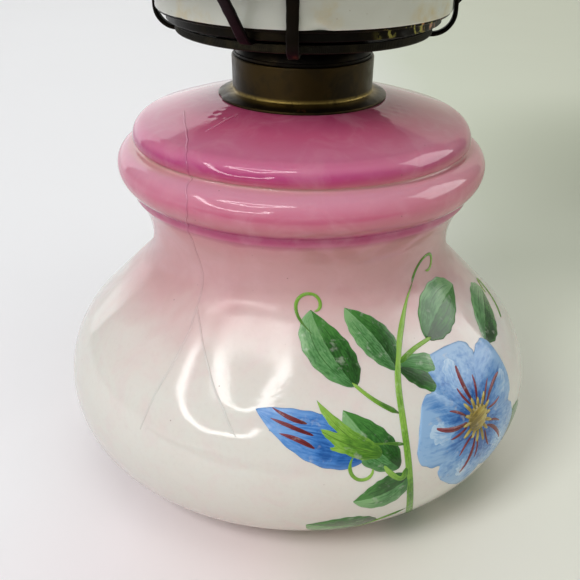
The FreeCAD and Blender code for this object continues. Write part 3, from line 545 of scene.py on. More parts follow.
# Painted reflections on the gallery ring: yellow-green and pink flecks at its front right stand for the
# font's leaves and pink glass shining in the brass.
FRONT_PLACE, SIDE_PLACE = (0.0236, -0.0244, 0.1228), (0.0300, -0.0145, 0.1230)
REFLECTED_GREEN = [(0.38, tone(120, 112, 58)), (0.55, tone(172, 164, 84)), (0.68, tone(168, 120, 84))]
REFLECTED_PINK = [(0.4, tone(150, 104, 82)), (0.6, tone(190, 140, 116))]
painted_reflection(gallery_metal, FRONT_PLACE, 11 * MM, REFLECTED_GREEN, 0.10)
painted_reflection(gallery_metal, SIDE_PLACE, 7 * MM, REFLECTED_PINK, 0.10)
aged_brass("cone_brass", tone(138, 108, 64), tone(66, 50, 32), tone(84, 78, 56), tone(112, 80, 86),
           film_share=0.26, copper_share=0.12, gloss=0.32)
aged_brass("spring_brass", tone(32, 26, 20), tone(16, 14, 11), tone(26, 23, 18), tone(90, 58, 38),
           film_share=0.30, copper_share=0.08, gloss=0.44, pitted=0.2)
aged_brass("tripod_brass", tone(17, 16, 14), tone(11, 10, 9), tone(15, 15, 13), tone(32, 26, 20),
           film_share=0.34, copper_share=0.01, gloss=0.44, pitted=0.2)
aged_brass("rivet_brass", tone(110, 90, 56), tone(48, 38, 24), film_share=0.24, copper_share=0.06)
aged_brass("wheel_brass", tone(176, 148, 88), tone(104, 84, 50), film_share=0.16, copper_share=0.04,
           gloss=0.26)
aged_brass("knob_brass", tone(136, 112, 66), tone(64, 52, 32), film_share=0.26, copper_share=0.05,
           gloss=0.28)
aged_brass("shaft_steel", tone(150, 146, 138), tone(84, 78, 70), tone(96, 80, 66), tone(112, 74, 52),
           film_share=0.2, copper_share=0.05, gloss=0.28)
print("brass finishes:", len(finishes) - 1)

# %% [markdown]
# ## Opal glass
#
# Opal glass is milk-white right through, with a clear fire-polished skin, and smoke and oil
# have left yellow-brown stains near its foot. A volume inside the glass could scatter the
# light. Light that soaks in a few millimetres under the skin looks the same on walls this
# thin, and renders much faster.

# %% The opal recipe
def opal(slot, body, shadow, foot, stain_reach):
    """White glass whose stains fade out this many metres above its foot."""
    white = Finish(slot)
    rise = white.sum("SUBTRACT", white.up(), foot)
    cloudy = white.blend(white.window(white.noise(18.0, detail=3.0), 0.3, 0.7, 0.0, 0.6), body, shadow)
    smoke = white.sum("MULTIPLY", white.window(white.noise(15.0, detail=6.0, roughness=0.6), 0.50, 0.72),
                      white.window(rise, 0.0, stain_reach, 0.75, 0.0))
    stained = white.blend(smoke, cloudy, tone(196, 172, 104))
    grime = white.window(white.cells(2.4), 0.03, 0.08, 0.55, 0.0)
    white.surface(
        Base_Color=white.blend(grime, stained, tone(150, 132, 108)),
        Roughness=white.window(white.noise(7.0, detail=8.0), 0.35, 0.75, 0.05, 0.16),
        Normal=white.bump(white.noise(11.0, detail=1.0), 0.2),
        IOR=1.5,
        Subsurface_Weight=0.35,
        Subsurface_Radius=(0.005, 0.0045, 0.004),
        Subsurface_Scale=0.6,
    )


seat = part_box("chimney")[0].z
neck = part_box("ball_shade")[0].z
opal("opal_glass", tone(207, 209, 199), tone(190, 190, 177), seat, 0.016)
opal("shade_glass", tone(236, 231, 226), tone(226, 214, 208), neck, 0.020)
print(f"stains start at {seat / MM:.1f} mm on the chimney and {neck / MM:.1f} mm on the shade")

# %% [markdown]
# ## Plaster and cotton
#
# Plaster of Paris holds the collar to the glass: dull, grainy and off-white. The wick is a
# ribbed cotton tape, charred at its top edge. Its weave could be modelled, but it hardly
# shows, so two crossed waves and a fine fibre in the finish stand for it.

# %% Plaster
plaster = Finish("plaster")
lumps = plaster.noise(1.2, detail=8.0, roughness=0.7)
plaster.surface(
    Base_Color=plaster.ramp(lumps, [(0.3, tone(196, 188, 172)), (0.7, tone(224, 218, 204))]),
    Roughness=plaster.window(lumps, 0.3, 0.7, 0.8, 0.95),
    Normal=plaster.bump(lumps, 0.2),
)
print("plaster finish:", len(plaster.nodes), "nodes")

# %% Cotton
cotton = Finish("wick_cotton")
RIB = 3.456 * MM


def yarn(direction):
    """Ribs across one direction. A Wave node's scale counts in steps of 20 radians, so it is
    2 pi / 20 over the rib's width."""
    inputs = {"Vector": cotton.place, "Scale": math.pi / (10 * RIB), "Distortion": 0.6, "Detail": 2.0}
    return cotton.step("ShaderNodeTexWave", inputs, "Fac", bands_direction=direction)


weave = cotton.sum("MULTIPLY", yarn("Y"), yarn("Z"))
fibre = cotton.noise(0.35, detail=6.0)
flame_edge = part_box("wick")[1].z
ragged = cotton.sum("ADD", cotton.up(), cotton.window(fibre, 0.2, 0.8, -0.6 * MM, 0.6 * MM))
char = cotton.window(ragged, flame_edge - 2.2 * MM, flame_edge - 0.4 * MM)
clean = cotton.blend(cotton.window(weave, 0.1, 0.8), tone(196, 182, 150), tone(232, 224, 200))
cotton.surface(
    Base_Color=cotton.blend(char, clean, tone(34, 28, 24)),
    Roughness=cotton.window(fibre, 0.2, 0.8, 0.82, 0.98),
    Normal=cotton.bump(weave, 0.18, cotton.bump(fibre, 0.08)),
)
print("finishes:", sorted(finishes))

# %% [markdown]
# ## The glass font
#
# A blower shapes the font in a mould: a full bulb, a straight flank, a drawn-in waist, a
# small step, two ribs and a low shoulder. The outline could be a spline through many points.
# A mould maker draws it with a compass, so it is arcs here, and each arc's radius is worked
# out from the point where the glass is fullest.

# %% The font's outline
GLASS_WALL = 3.2
FOOT, BULB, WAIST = (41.8, 1.8), (63.6, 26.7), (39.3, 66.3)
BULB_BEND, WAIST_BEND = 25.0, 11.8
STEP, STEP_TOP = (43.7, 78.6), (44.1, 80.6)
LOWER_RIB, CREASE_FOOT, CREASE, CREASE_BEND = (47.4, 86.2), (43.1, 91.0), (42.3, 91.8), 0.8
UPPER_RIB, SHOULDER, CROWN = (43.3, 92.8), (39.7, 97.4), 150.0
NECK_WALL = (14.4, 16.4)
UNDERSIDE = 3.0
collar_seat = (21.6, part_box("collar")[0].z / MM)
glass_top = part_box("font_glass")[1].z / MM


def fullest(full, end):
    """Radius of the arc that stands upright at its fullest point and runs through its end:
    (difference across squared + difference up squared) over twice the difference across."""
    across, rise = full[0] - end[0], full[1] - end[1]
    return (across ** 2 + rise ** 2) / (2 * abs(across))


def flank_ends():
    """The straight flank touches the bulb's circle and the waist's circle. Its direction
    leans from the line of centres by the arc cosine of (both radii over their distance)."""
    low = np.array([BULB[0] - BULB_BEND, BULB[1]])
    high = np.array([WAIST[0] + WAIST_BEND, WAIST[1]])
    across, rise = high - low
    lean = math.atan2(rise, across) - math.acos((BULB_BEND + WAIST_BEND) / math.hypot(across, rise))
    out = np.array([math.cos(lean), math.sin(lean)])
    return low + BULB_BEND * out, high - WAIST_BEND * out


flank_foot, flank_top = flank_ends()
print(f"the flank runs from {flank_foot.round(1)} to {flank_top.round(1)} mm")

# %% The line from foot to collar
font_line = [
    FOOT,
    (*BULB, fullest(BULB, FOOT), "left"),
    (*flank_foot, BULB_BEND, "left"),
    tuple(flank_top),
    (*WAIST, WAIST_BEND, "right"),
    (*STEP, fullest(WAIST, STEP), "right"),
    STEP_TOP,
    (*LOWER_RIB, fullest(LOWER_RIB, STEP_TOP), "left"),
    (*CREASE_FOOT, fullest(LOWER_RIB, CREASE_FOOT), "left"),
    (*CREASE, CREASE_BEND, "right"),
    (*UPPER_RIB, fullest(UPPER_RIB, CREASE), "left"),
    (*SHOULDER, fullest(UPPER_RIB, SHOULDER), "left"),
    (*collar_seat, CROWN, "left"),
]
skin = drawn(font_line, step=0.52)
print("points on the skin's line:", len(skin))

# %% [markdown]
# ## The font's wall
#
# The wall is about 3 mm thick and holds the oil, so the font is hollow and its floor stands a
# little above the table. A Solidify modifier could thicken one skin. The inside is smoother
# than the outside, because the mould touches the outside only, so it gets fewer points and no
# waves.

# %% The font's section
inner_skin = drawn(font_line[:-1], step=3.0)[::-1] - np.array([GLASS_WALL, 0])
floor_height = UNDERSIDE + GLASS_WALL
inner_skin = inner_skin[inner_skin[:, 1] > floor_height + 1.0]
font_section = np.vstack([
    [(0, UNDERSIDE), (FOOT[0] - 6.5, UNDERSIDE), (FOOT[0] - 6.5, 0), (FOOT[0] - FOOT[1], 0)],
    drawn([(FOOT[0] - FOOT[1], 0), (*FOOT, FOOT[1], "left")])[1:-1],
    skin,
    [(NECK_WALL[1], collar_seat[1]), (NECK_WALL[1], glass_top), (NECK_WALL[0], glass_top),
     (NECK_WALL[0], collar_seat[1] - GLASS_WALL)],
    inner_skin,
    [(FOOT[0] - GLASS_WALL, floor_height), (0, floor_height)],
])
print("points on the whole section:", len(font_section))


# %% Blow the font
def turn_from(angle, heading):
    """The angle measured from a heading in degrees, wrapped to half a circle either way."""
    return (angle - math.radians(heading) + math.pi) % (2 * math.pi) - math.pi


def blown(radius, height, angle):
    """Let the outer skin wander: r falls by up to 0.12 mm in slow waves round and up. Two
    places on the shoulder, where the glass chilled on the mould, keep small sharp ripples."""
    wave = np.sin(2 * angle + height / 19) + np.sin(3 * angle - height / 31 + 1.3)
    free = np.clip((radius - 24) / 10, 0, 1) * np.clip(height / 6, 0, 1)
    chill = 0
    for heading, middle in ((-137, 26.5), (-28, 26.0)):
        gap = turn_from(angle, heading)
        near = np.exp(-((gap * radius) / 5.0) ** 2 - ((radius - middle) / 2.6) ** 2) * (height > 98)
        chill = chill + near * (np.sin(2.1 * radius + 40 * gap) + np.sin(55 * gap - radius) + 2)
    return radius - 0.06 * free * (wave + 2) / 2, height - 0.035 * chill


solid("font_glass_blown", [turned(eased(font_section, 0.5), 288, blown)], "base", "cased_glass",
      ["font_glass"])

# %% [markdown]
# ## Lines and paint laid on the glass
#
# A mould seam and a stroke of enamel both stand a little proud of the glass. They could be
# relief in the glass finish, but they are what the eye finds first, so they are thin lenses
# that follow the skin along a path. Paths are drawn on a flat patch, across and up in
# millimetres, and then laid on the bulb.

# %% Patches laid on the skin
def unit(vectors):
    """Scale each row to a length of one."""
    return vectors / np.linalg.norm(vectors, axis=1)[:, None]


run = np.r_[0, np.cumsum(np.hypot(*np.diff(skin, axis=0).T))]
BULB_RUN = float(np.interp(BULB[1], skin[:, 1], run))
slope = unit(np.gradient(skin, run, axis=0))


def on_glass(across, up, lift, middle):
    """Lay a patch's points on the skin: the angle is across over the radius there, and up
    runs along the section. Lift is along the skin's normal (dz, -dr)."""
    along = BULB_RUN + up
    radius = np.interp(along, run, skin[:, 0])
    angle = math.radians(middle) + across / radius
    radius = radius + lift * np.interp(along, run, slope[:, 1])
    height = np.interp(along, run, skin[:, 1]) - lift * np.interp(along, run, slope[:, 0])
    return MM * np.stack([radius * np.cos(angle), radius * np.sin(angle), height], axis=-1)


print(f"the skin's line is {run[-1]:.1f} mm long and fullest at {BULB_RUN:.1f} mm")


# %% Strokes as thin lenses
def brushed(path, half, raise_by, columns):
    """A lens along a path on the patch: the half widths are given at its points. It stands
    proud by raise_by * sqrt(half width over the widest), and is sunk a little below."""
    rows = len(path)
    ahead = unit(np.gradient(path, axis=0))
    aside = np.column_stack([-ahead[:, 1], ahead[:, 0]])
    around = np.arange(columns) / columns * 2 * math.pi
    v, proud = np.cos(around)[None, :], np.sin(around)[None, :]
    full = np.sqrt(np.clip(half / half.max(), 0, 1))[:, None]
    spread = half[:, None] * v
    across = path[:, :1] + aside[:, :1] * spread
    up = path[:, 1:] + aside[:, 1:] * spread
    lift = np.where(proud > 0, raise_by, 0.25) * full * proud
    u = np.linspace(0, 1, rows)[:, None]
    return (across, up, lift), np.repeat(u, columns, axis=1), np.repeat(v, rows, axis=0)


def stroke(start, finish, width, bow=0.0, fullness=0.5, blunt=0.5, raise_by=0.16, waves=0.0,
           rows=40, columns=28):
    """One brush stroke from start to finish. Its middle line bows sideways as bow * 4u(1-u).
    Its half width is (u/f)^blunt ((1-u)/(1-f))^(blunt(1-f)/f) of the full one, so it is widest
    at the fullness f."""
    u = np.linspace(0, 1, rows)
    start, finish = np.array(start, float), np.array(finish, float)
    reach = finish - start
    aside = np.array([-reach[1], reach[0]]) / np.hypot(*reach)
    path = start + reach * u[:, None] + aside * (bow * 4 * u * (1 - u))[:, None]
    power = blunt * (1 - fullness) / fullness
    half = width / 2 * (u / fullness) ** blunt * ((1 - u) / (1 - fullness)) ** power
    return brushed(path, half * (1 + waves * np.sin(u * 38)), raise_by, columns)


print("a stroke has", stroke((0, 0), (10, 0), 2)[1].shape, "points")

# %% [markdown]
# ## Mould seams
#
# Where the halves of the mould met, a raised hairline runs over the shoulder, across the ribs
# and down the bulb, and splits in two below the waist. A seam could be scratched into the
# finish. As a fine lens it breaks the reflections the way a real one does.

# %% Mould seams
SEAM_SIDE = -126.0
SEAM_HALF, SEAM_PROUD = 0.26, 0.10


def seam(places, finer=1.0):
    """A raised hairline through places given as (angle in degrees, height in millimetres)."""
    angle, height = np.array(places, float).T
    u = np.linspace(0, len(places) - 1, 16 * len(places))
    angle = np.interp(u, np.arange(len(places)), angle)
    height = np.interp(u, np.arange(len(places)), height)
    up = np.interp(height, skin[:, 1], run) - BULB_RUN
    radius = np.interp(height, skin[:, 1], skin[:, 0])
    path = np.column_stack([np.radians(angle - SEAM_SIDE) * radius, up])
    ends = np.clip(np.minimum(u, u[-1] - u) / 0.5, 0, 1)
    return brushed(path, SEAM_HALF * finer * np.sqrt(ends), SEAM_PROUD * finer, 10)


seams = [
    seam([(-160.5, 100.2), (-150.2, 99.7), (-140.0, 98.9), (-133.2, 98.0), (-128.9, 96.9), (-126.3, 94.4),
          (-125.2, 91.3), (-122.2, 88.0), (-122.3, 84.5), (-126.2, 79.5), (-127.9, 72.4),
          (-125.9, 65.9), (-125.7, 58.9), (-123.9, 54.4), (-124.0, 48.7), (-124.8, 43.9),
          (-125.3, 39.7), (-126.4, 33.6)]),
    seam([(-125.7, 58.9), (-121.4, 55.8), (-117.7, 52.7), (-114.1, 49.6), (-111.0, 46.6),
          (-106.7, 42.9), (-102.9, 38.2)], 0.8),
    seam([(-131.2, 99.3), (-130.3, 99.9), (-129.7, 100.9), (-128.6, 101.9)], 1.4),
]
solid("mould_seams", [on_glass(*patch, SEAM_SIDE) for patch, _, _ in seams], "base", "cased_glass")

# %% [markdown]
# ## Enamel flowers
#
# The sprays on such fonts were painted freehand in enamel and fired on. A picture could be
# wrapped round the bulb, but brush strokes have a start, an end and a raised edge. Each
# stroke carries two marks, the way along and the way across, and the enamel reads them for
# its shading, its streaks and the fine vein down its middle.

# %% The enamel recipe
def enamel(name, tip, body, heart, vein, vein_width):
    """Glossy enamel: darker towards its root, streaked along the stroke, with one painted
    vein down the middle."""
    paint = Finish(name)
    along, aside = paint.mark("along"), paint.mark("aside")
    pulled = paint.step("ShaderNodeCombineXYZ", {"X": paint.sum("MULTIPLY", along, 0.0016),
                        "Y": paint.sum("MULTIPLY", aside, 0.0060), "Z": paint.up()}, "Vector")
    streaks = paint.noise(0.9, detail=6.0, roughness=0.6, at=pulled)
    loaded = paint.noise(7.0, detail=3.0, distortion=0.8)
    shifted = paint.sum("ADD", paint.sum("ADD", along, paint.window(streaks, 0.3, 0.7, -0.22, 0.22)),
                        paint.window(loaded, 0.3, 0.7, -0.20, 0.20))
    washed = paint.ramp(shifted, [(0.10, heart), (0.46, body), (0.90, tip)])
    edge = paint.window(paint.sum("ABSOLUTE", aside), 0.55, 1.0, 0.0, 0.35)
    lit = paint.blend(edge, washed, tip)
    middle = paint.window(paint.sum("ABSOLUTE", aside), vein_width, 1.6 * vein_width, 0.8, 0.0)
    ends = paint.sum("MULTIPLY", paint.window(along, 0.1, 0.2),
                     paint.window(along, 0.7, 0.86, 1.0, 0.0))
    thin = paint.window(paint.noise(2.2, detail=6.0), 0.58, 0.74, 0.0, 0.3)
    paint.surface(
        Base_Color=paint.blend(thin, paint.blend(paint.sum("MULTIPLY", middle, ends), lit, vein),
                               tone(206, 204, 196)),
        Roughness=paint.window(streaks, 0.3, 0.7, 0.08, 0.2),
        Normal=paint.bump(streaks, 0.05),
        IOR=1.5,
    )


print("enamel recipe ready")

# %% Enamel colours
enamel("blue_enamel", tone(140, 176, 214), tone(86, 136, 194), tone(28, 84, 154), tone(60, 104, 168), 0.03)
enamel("blush_enamel", tone(176, 202, 226), tone(130, 170, 212), tone(84, 132, 190), tone(110, 150, 200),
       0.03)
enamel("bud_enamel", tone(110, 156, 212), tone(58, 118, 190), tone(24, 82, 152), tone(34, 84, 150), 0.03)
enamel("leaf_enamel", tone(66, 126, 52), tone(38, 92, 30), tone(24, 62, 16), tone(30, 66, 22), 0.03)
enamel("sage_enamel", tone(122, 168, 110), tone(84, 138, 80), tone(50, 102, 46), tone(50, 96, 42), 0.03)
enamel("lime_enamel", tone(136, 178, 72), tone(100, 150, 44), tone(62, 110, 30), tone(70, 104, 34), 0.03)
enamel("wine_enamel", tone(128, 56, 66), tone(112, 34, 40), tone(92, 24, 28), tone(84, 20, 24), 0.1)
enamel("gold_enamel", tone(184, 170, 92), tone(156, 134, 58), tone(104, 92, 46), tone(120, 100, 40), 0.04)
print("enamels:", [name for name in finishes if name.endswith("enamel")])

# %% [markdown]
# ## Stems and tendrils
#
# The painter laid the stem first, in one long pull, and flicked tendrils off it. A stem goes
# through a few places and its corners are softened; a Bezier curve would do as well, but these
# are plain points on the patch. A tendril only has a start, a heading and a number of turns.

# %% Stems and tendrils
def softened(points):
    """Cut a line's corners four times over: each edge keeps its points at a quarter and at
    three quarters, and the line keeps its ends."""
    line = np.array(points, float)
    for _ in range(4):
        early, late = 0.75 * line[:-1] + 0.25 * line[1:], 0.25 * line[:-1] + 0.75 * line[1:]
        middle = np.stack([early, late], axis=1).reshape(-1, 2)
        line = np.vstack([line[:1], middle[1:-1], line[-1:]])
    return line


THIN_LINE_COLUMNS = 14


def tendril(start, heading, length, width, turns, ease):
    """A line that curls as it goes: its heading turns by turns * u^(1 + ease) of a circle."""
    rows = 60
    u = np.linspace(0, 1, rows)
    angle = math.radians(heading) + 2 * math.pi * turns * u ** (1 + ease)
    steps = length / (rows - 1) * np.column_stack([np.cos(angle), np.sin(angle)])
    path = np.array(start, float) + np.vstack([[0, 0], np.cumsum(steps[:-1], axis=0)])
    half = width / 2 * np.clip(u / 0.06, 0, 1) ** 0.5 * np.clip((1 - u) / 0.10, 0, 1) ** 0.5
    return brushed(path, half, 0.16, THIN_LINE_COLUMNS)


def stem(points, width):
    """A stem through softened places, thin at both ends."""
    line = softened(points)
    u = np.linspace(0, 1, len(line))
    half = width / 2 * np.sqrt(np.clip(np.minimum(u, 1 - u) / 0.06, 0, 1)) * (1.1 - 0.35 * u)
    return brushed(line, half, 0.2, THIN_LINE_COLUMNS)


SPRAY = -56.0


def painted(name, finish, strokes):
    """Join strokes of one colour into a piece on the glass, with the spray's middle at its
    own angle in degrees."""
    grids = [on_glass(*patch, SPRAY) for patch, _, _ in strokes]
    marks = {"along": [along for _, along, _ in strokes],
             "aside": [aside for _, _, aside in strokes]}
    solid(name, grids, "base", "cased_glass", finish=finish, marks=marks)


painted("enamel_stems", "lime_enamel", [
    stem([(16, -40), (3, -30), (-7, -14), (-11, 2), (-10, 18), (-3, 33), (8, 46)], 1.9),
    stem([(-10.5, 4), (-12, 0), (-15, 2), (-18, 7)], 1.7),
    stem([(-8, -12), (-15, -15), (-20, -21)], 1.3),
    stem([(-6, 27), (0, 30), (8, 31)], 1.3),
    stem([(2, -29), (10, -27), (18, -27)], 1.3),
    stem([(-10, 16), (-15, 20), (-19, 26)], 1.3),
    tendril((-10.8, 9), 165, 26, 0.9, 0.85, 1.4),
    tendril((-22, 36), 120, 20, 0.8, -0.85, 1.2),
    tendril((7, 45), 60, 17, 0.8, -0.8, 1.2),
    tendril((-21, -22), 215, 22, 0.9, 0.8, 1.2),
    tendril((44, 20), 20, 18, 0.8, 0.8, 1.2),
])

# %% [markdown]
# ## Leaves
#
# Each leaf is two loaded strokes, a dark half and a light half, that meet at its middle. One
# stroke with a ramp could fake this. Two strokes give the ridge between them that shows when
# the lamp turns in the light.

# %% Leaves
def leaf(root, tip, width, bow):
    """Two strokes side by side, which meet along the leaf's middle: first the shaded half."""
    root, tip = np.array(root, float), np.array(tip, float)
    shaded = stroke(root, tip, 0.62 * width, bow=bow - 0.24 * width, fullness=0.40, blunt=0.75,
                    raise_by=0.14, waves=0.05)
    lit = stroke(root, tip, 0.62 * width, bow=bow + 0.24 * width, fullness=0.46, blunt=0.75,
                 raise_by=0.18, waves=0.05)
    return shaded, lit


leaves = [
    leaf((-15, -15), (-33, -13), 10.0, 1.6),
    leaf((-18, 24), (-21, 43), 10.5, 1.2),
    leaf((5, 31), (25, 38), 11.5, 2.2),
    leaf((14, -27), (39, -26), 13.0, -2.6),
    leaf((26, 22), (45, 28), 11.0, 1.8),
    leaf((28, 0), (44, -8), 11.0, -1.6),
    leaf((-5, -19), (8, -33), 9.0, -1.4),
    leaf((-10, 1), (-24, -4), 8.5, 1.6),
    leaf((-6, 27), (8, 16), 8.5, 1.8),
    leaf((-6.5, 26), (-13, 43), 8.5, -1.2),
    leaf((-13, 3.5), (-23, 19), 9.0, 1.2),
]
painted("enamel_leaves", "leaf_enamel", [shaded for shaded, _ in leaves])
painted("enamel_leaf_lights", "sage_enamel", [lit for _, lit in leaves])

# %% [markdown]
# ## Blossom
#
# Five broad petals overlap, each with a pale stroke laid over it, fine dark rays and a ring
# of gold dots round the heart. The petals could be one mesh. Strokes that rise a little from
# one petal to the next overlap as wet paint does.

# %% Blossom
flower = np.array([12.0, 8.0])
PETALS, FIRST_PETAL = 5, 98


def spoke(turn):
    """The direction on the patch at this many degrees: (cos turn, sin turn)."""
    return np.array([math.cos(math.radians(turn)), math.sin(math.radians(turn))])


petals, blushes, rays = [], [], []
for count in range(PETALS):
    out = spoke(FIRST_PETAL + 360 / PETALS * count)
    aside = np.array([-out[1], out[0]])
    reach = 19.6 - 0.7 * (count % 3)
    petals.append(stroke(flower + 1.8 * out, flower + reach * out, 18.4, bow=0.8, fullness=0.68,
                         blunt=0.60, raise_by=0.24 + 0.03 * count, waves=0.02))
    blushes.append(stroke(flower + 7.0 * out, flower + (reach - 2.2) * out, 8.0, bow=2.4 - count,
                          fullness=0.6, blunt=0.8, raise_by=0.30 + 0.03 * count, waves=0.08))
    rays.append(stroke(flower + 4.0 * out, flower + 14.5 * out, 1.5, bow=1.0, fullness=0.6,
                       blunt=0.5, raise_by=0.50, rows=24, columns=12))
    for side in (-1, 1):
        rays.append(stroke(flower + 4.0 * out + side * aside, flower + 10.0 * out + 3.4 * side * aside,
                           0.8, bow=0.4 * side, blunt=0.5, raise_by=0.46, rows=24, columns=12))
painted("enamel_blossom", "blue_enamel", petals)
painted("enamel_blossom_blush", "blush_enamel", blushes)
painted("enamel_blossom_rays", "wine_enamel", rays)

# %% The blossom's heart
STAMENS = 14
heart = [stroke(flower + (-3.8, -0.6), flower + (3.8, 0.8), 6.4, fullness=0.5, raise_by=0.6)]
for count in range(STAMENS):
    out = spoke(360 / STAMENS * count)
    heart.append(stroke(flower + 2.2 * out, flower + (5.2 + 0.8 * (count % 3)) * out, 1.0, raise_by=0.56,
                        rows=12, columns=12))
painted("enamel_blossom_heart", "gold_enamel", heart)

# %% [markdown]
# ## Bud
#
# The bud is two blue strokes in a green cup, with three dark rays. It could be a small copy
# of the blossom, but a closed flower shows its side, so it has strokes of its own.

# %% Bud
bud = np.array([-31.0, 14.0])
painted("enamel_bud", "bud_enamel", [
    stroke(bud + (11, -5), bud + (-12, 5), 12.5, bow=0.8, fullness=0.40, blunt=0.55, raise_by=0.2,
           waves=0.02),
    stroke(bud + (10, -5.4), bud + (-10.5, 0.5), 7.0, bow=-2.6, fullness=0.4, blunt=0.5,
           raise_by=0.26),
])
painted("enamel_bud_rays", "wine_enamel", [
    stroke(bud + low, bud + high, width, bow=bow, fullness=0.4, blunt=0.5, raise_by=0.34, columns=12)
    for low, high, width, bow in (((-1, -3.4), (-8.5, 0.0), 1.5, -0.5),
                                  ((0, -0.6), (-9.5, 3.4), 1.5, 0.0),
                                  ((-1, 2.2), (-8.0, 5.8), 1.4, 0.5))
])
painted("enamel_bud_cup", "lime_enamel", [
    stroke(bud + low, bud + high, width, bow=bow, fullness=0.35, raise_by=proud, waves=0.03)
    for low, high, width, bow, proud in (((14.0, -6.6), (0, -4.0), 5.4, -1.8, 0.30),
                                         ((14.0, -6.0), (-2, 3.4), 5.6, 1.0, 0.34),
                                         ((14.2, -5.6), (3, 7.6), 4.6, 2.4, 0.30))
])

# %% [markdown]
# ## The collar
#
# The collar was spun, so its section has eased folds, and years of handling have left small
# dents in its flange. They could be sculpted by hand. A dent here is a bell-shaped hollow at
# a given place, which is easy to move and to make deeper.

# %% Dents
def closeness(radius, height, angle, heading, level, width):
    """How near each point is to a place on the piece: e^(-distance^2 / (2 width^2)), with the
    distance measured round the piece and up it."""
    gap = turn_from(angle, heading)
    return np.exp(-((gap * radius) ** 2 + (height - level) ** 2) / (2 * width ** 2))


def dented(places):
    """Press soft dents in: each is (angle in degrees, height, width, depth) in millimetres."""
    def press(radius, height, angle):
        for heading, level, width, depth in places:
            radius = radius - depth * closeness(radius, height, angle, heading, level, width)
        return radius, height
    return press


print("dents can be pressed")

# %% Collar
collar_low, collar_high = levels("collar")
COLLAR, FLANGE, LINING = 17.6, 21.2, 15.95
COLLAR_WALL, THREAD_LENGTH = 0.7, 6.4
TURNS, PITCH, THREAD_DEPTH = 8, 0.72, 0.28
thread_foot = collar_high - THREAD_LENGTH
thread = []
for count in range(TURNS):
    crest = collar_high - 0.6 - count * PITCH
    thread += [(LINING, crest), (LINING + THREAD_DEPTH, crest - PITCH / 2)]
collar_section = np.vstack([
    drawn([(COLLAR - COLLAR_WALL, collar_low), (FLANGE, collar_low), (FLANGE, collar_low + 0.6),
           (COLLAR + 0.6, collar_low + 1.5), (COLLAR, collar_low + 2.1, 0.6, "right"),
           (COLLAR + 0.15, collar_high - 0.5), (COLLAR - 0.35, collar_high, 0.5, "left")], 0.12),
    [(LINING, collar_high)],
    thread,
    [(LINING, thread_foot), (COLLAR - COLLAR_WALL, thread_foot)],
])
collar_dents = dented([
    (-166, collar_low + 0.5, 1.6, 0.45), (-150, collar_low + 8, 1.5, 0.12),
    (-62, collar_low + 6, 2.2, 0.10), (25, collar_low + 4, 2.6, 0.16), (120, collar_low + 7, 2, 0.2),
])
solid("collar_spun", [turned(eased(collar_section, 0.16), 288, collar_dents)], "base",
      "collar_brass", ["collar"])

# %% [markdown]
# ## The burner's dome
#
# A dark drawn shell stands between the collar and the saucer. It could be a plain tube. The
# real one bulges a little as it narrows, so its wall is two arcs, one for each side of the
# sheet.

# %% Burner dome
dome_low, dome_high = levels("burner_dome")
SHEET, DOME_FOOT, DOME_TOP, DOME_BULGE = 0.6, 16.9, 14.4, 5.5
dome_section = drawn([
    (DOME_FOOT, dome_low), (DOME_TOP, dome_high, DOME_BULGE, "left"),
    (DOME_TOP - SHEET, dome_high), (DOME_FOOT - SHEET, dome_low, DOME_BULGE, "right")], 0.15)
dome_dents = dented([(-30, dome_low + 2, 1.8, 0.15), (-140, dome_low + 1.5, 2.2, 0.12)])
solid("burner_dome_drawn", [turned(eased(dome_section, 0.15), 256, dome_dents)], "burner",
      "burner_brass", ["burner_dome"])

# %% [markdown]
# ## The saucer's milled rim
#
# A knurling wheel pressed fine slanting ridges into the saucer's rim, so that fingers can
# unscrew the burner. They could be relief in the finish. As waves on the mesh they also show
# on the rim's outline.

# %% Air saucer
saucer_low, saucer_high = levels("air_saucer")
SAUCER, SHELF, SAUCER_FLOOR, SAUCER_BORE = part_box("air_saucer")[1].x / MM, 24.0, 16.4, 13.8
RIM_HEIGHT = 2.0
shelf = saucer_high - RIM_HEIGHT
RIDGES, RIDGE_DEPTH, RIDGE_SLANT = 440, 0.11, 0.5


def milled(radius, height, angle):
    """Press slanting ridges into the rim: r falls by half the depth times
    (1 - cos(ridges * angle + 2 pi * slant * height above the shelf))."""
    rim = np.clip((radius - SAUCER + 0.35) / 0.2, 0, 1) * np.clip((height - shelf - 0.1) / 0.3, 0, 1)
    rim = rim * np.clip((saucer_high - height) / 0.15, 0, 1)
    ridge = (1 - np.cos(RIDGES * angle + RIDGE_SLANT * 2 * math.pi * (height - shelf))) / 2
    return radius - RIDGE_DEPTH * rim * ridge, height


rim_rise = [(SAUCER, level) for level in np.linspace(shelf + 0.5, saucer_high, 9)]
saucer_section = np.vstack([
    [(SAUCER_BORE, saucer_low), (SAUCER_FLOOR, saucer_low), (SHELF, shelf)],
    drawn([(SAUCER - 0.5, shelf), (SAUCER, shelf + 0.5, 0.5, "left")], 0.2)[:-1],
    rim_rise,
    [(SAUCER - SHEET, saucer_high), (SAUCER - SHEET, shelf + SHEET), (SHELF, shelf + SHEET),
     (SAUCER_FLOOR, saucer_low + SHEET), (SAUCER_BORE, saucer_low + SHEET)],
])
solid("air_saucer_milled", [turned(eased(saucer_section, 0.15, steps=3), 4 * RIDGES, milled)],
      "burner", "saucer_brass", ["air_saucer"])

# %% [markdown]
# ## The gallery ring
#
# A plain brass ring carries the chimney. Solder has run along its foot at the front right
# and set in uneven beads. The beads could be small spheres. Two sine waves of different
# lengths, added to the radius, look like solder that flowed.

# %% Gallery ring
ring_low, ring_high = levels("gallery_ring")
RING_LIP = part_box("gallery_ring")[1].x / MM
RING = RING_LIP - 2.0


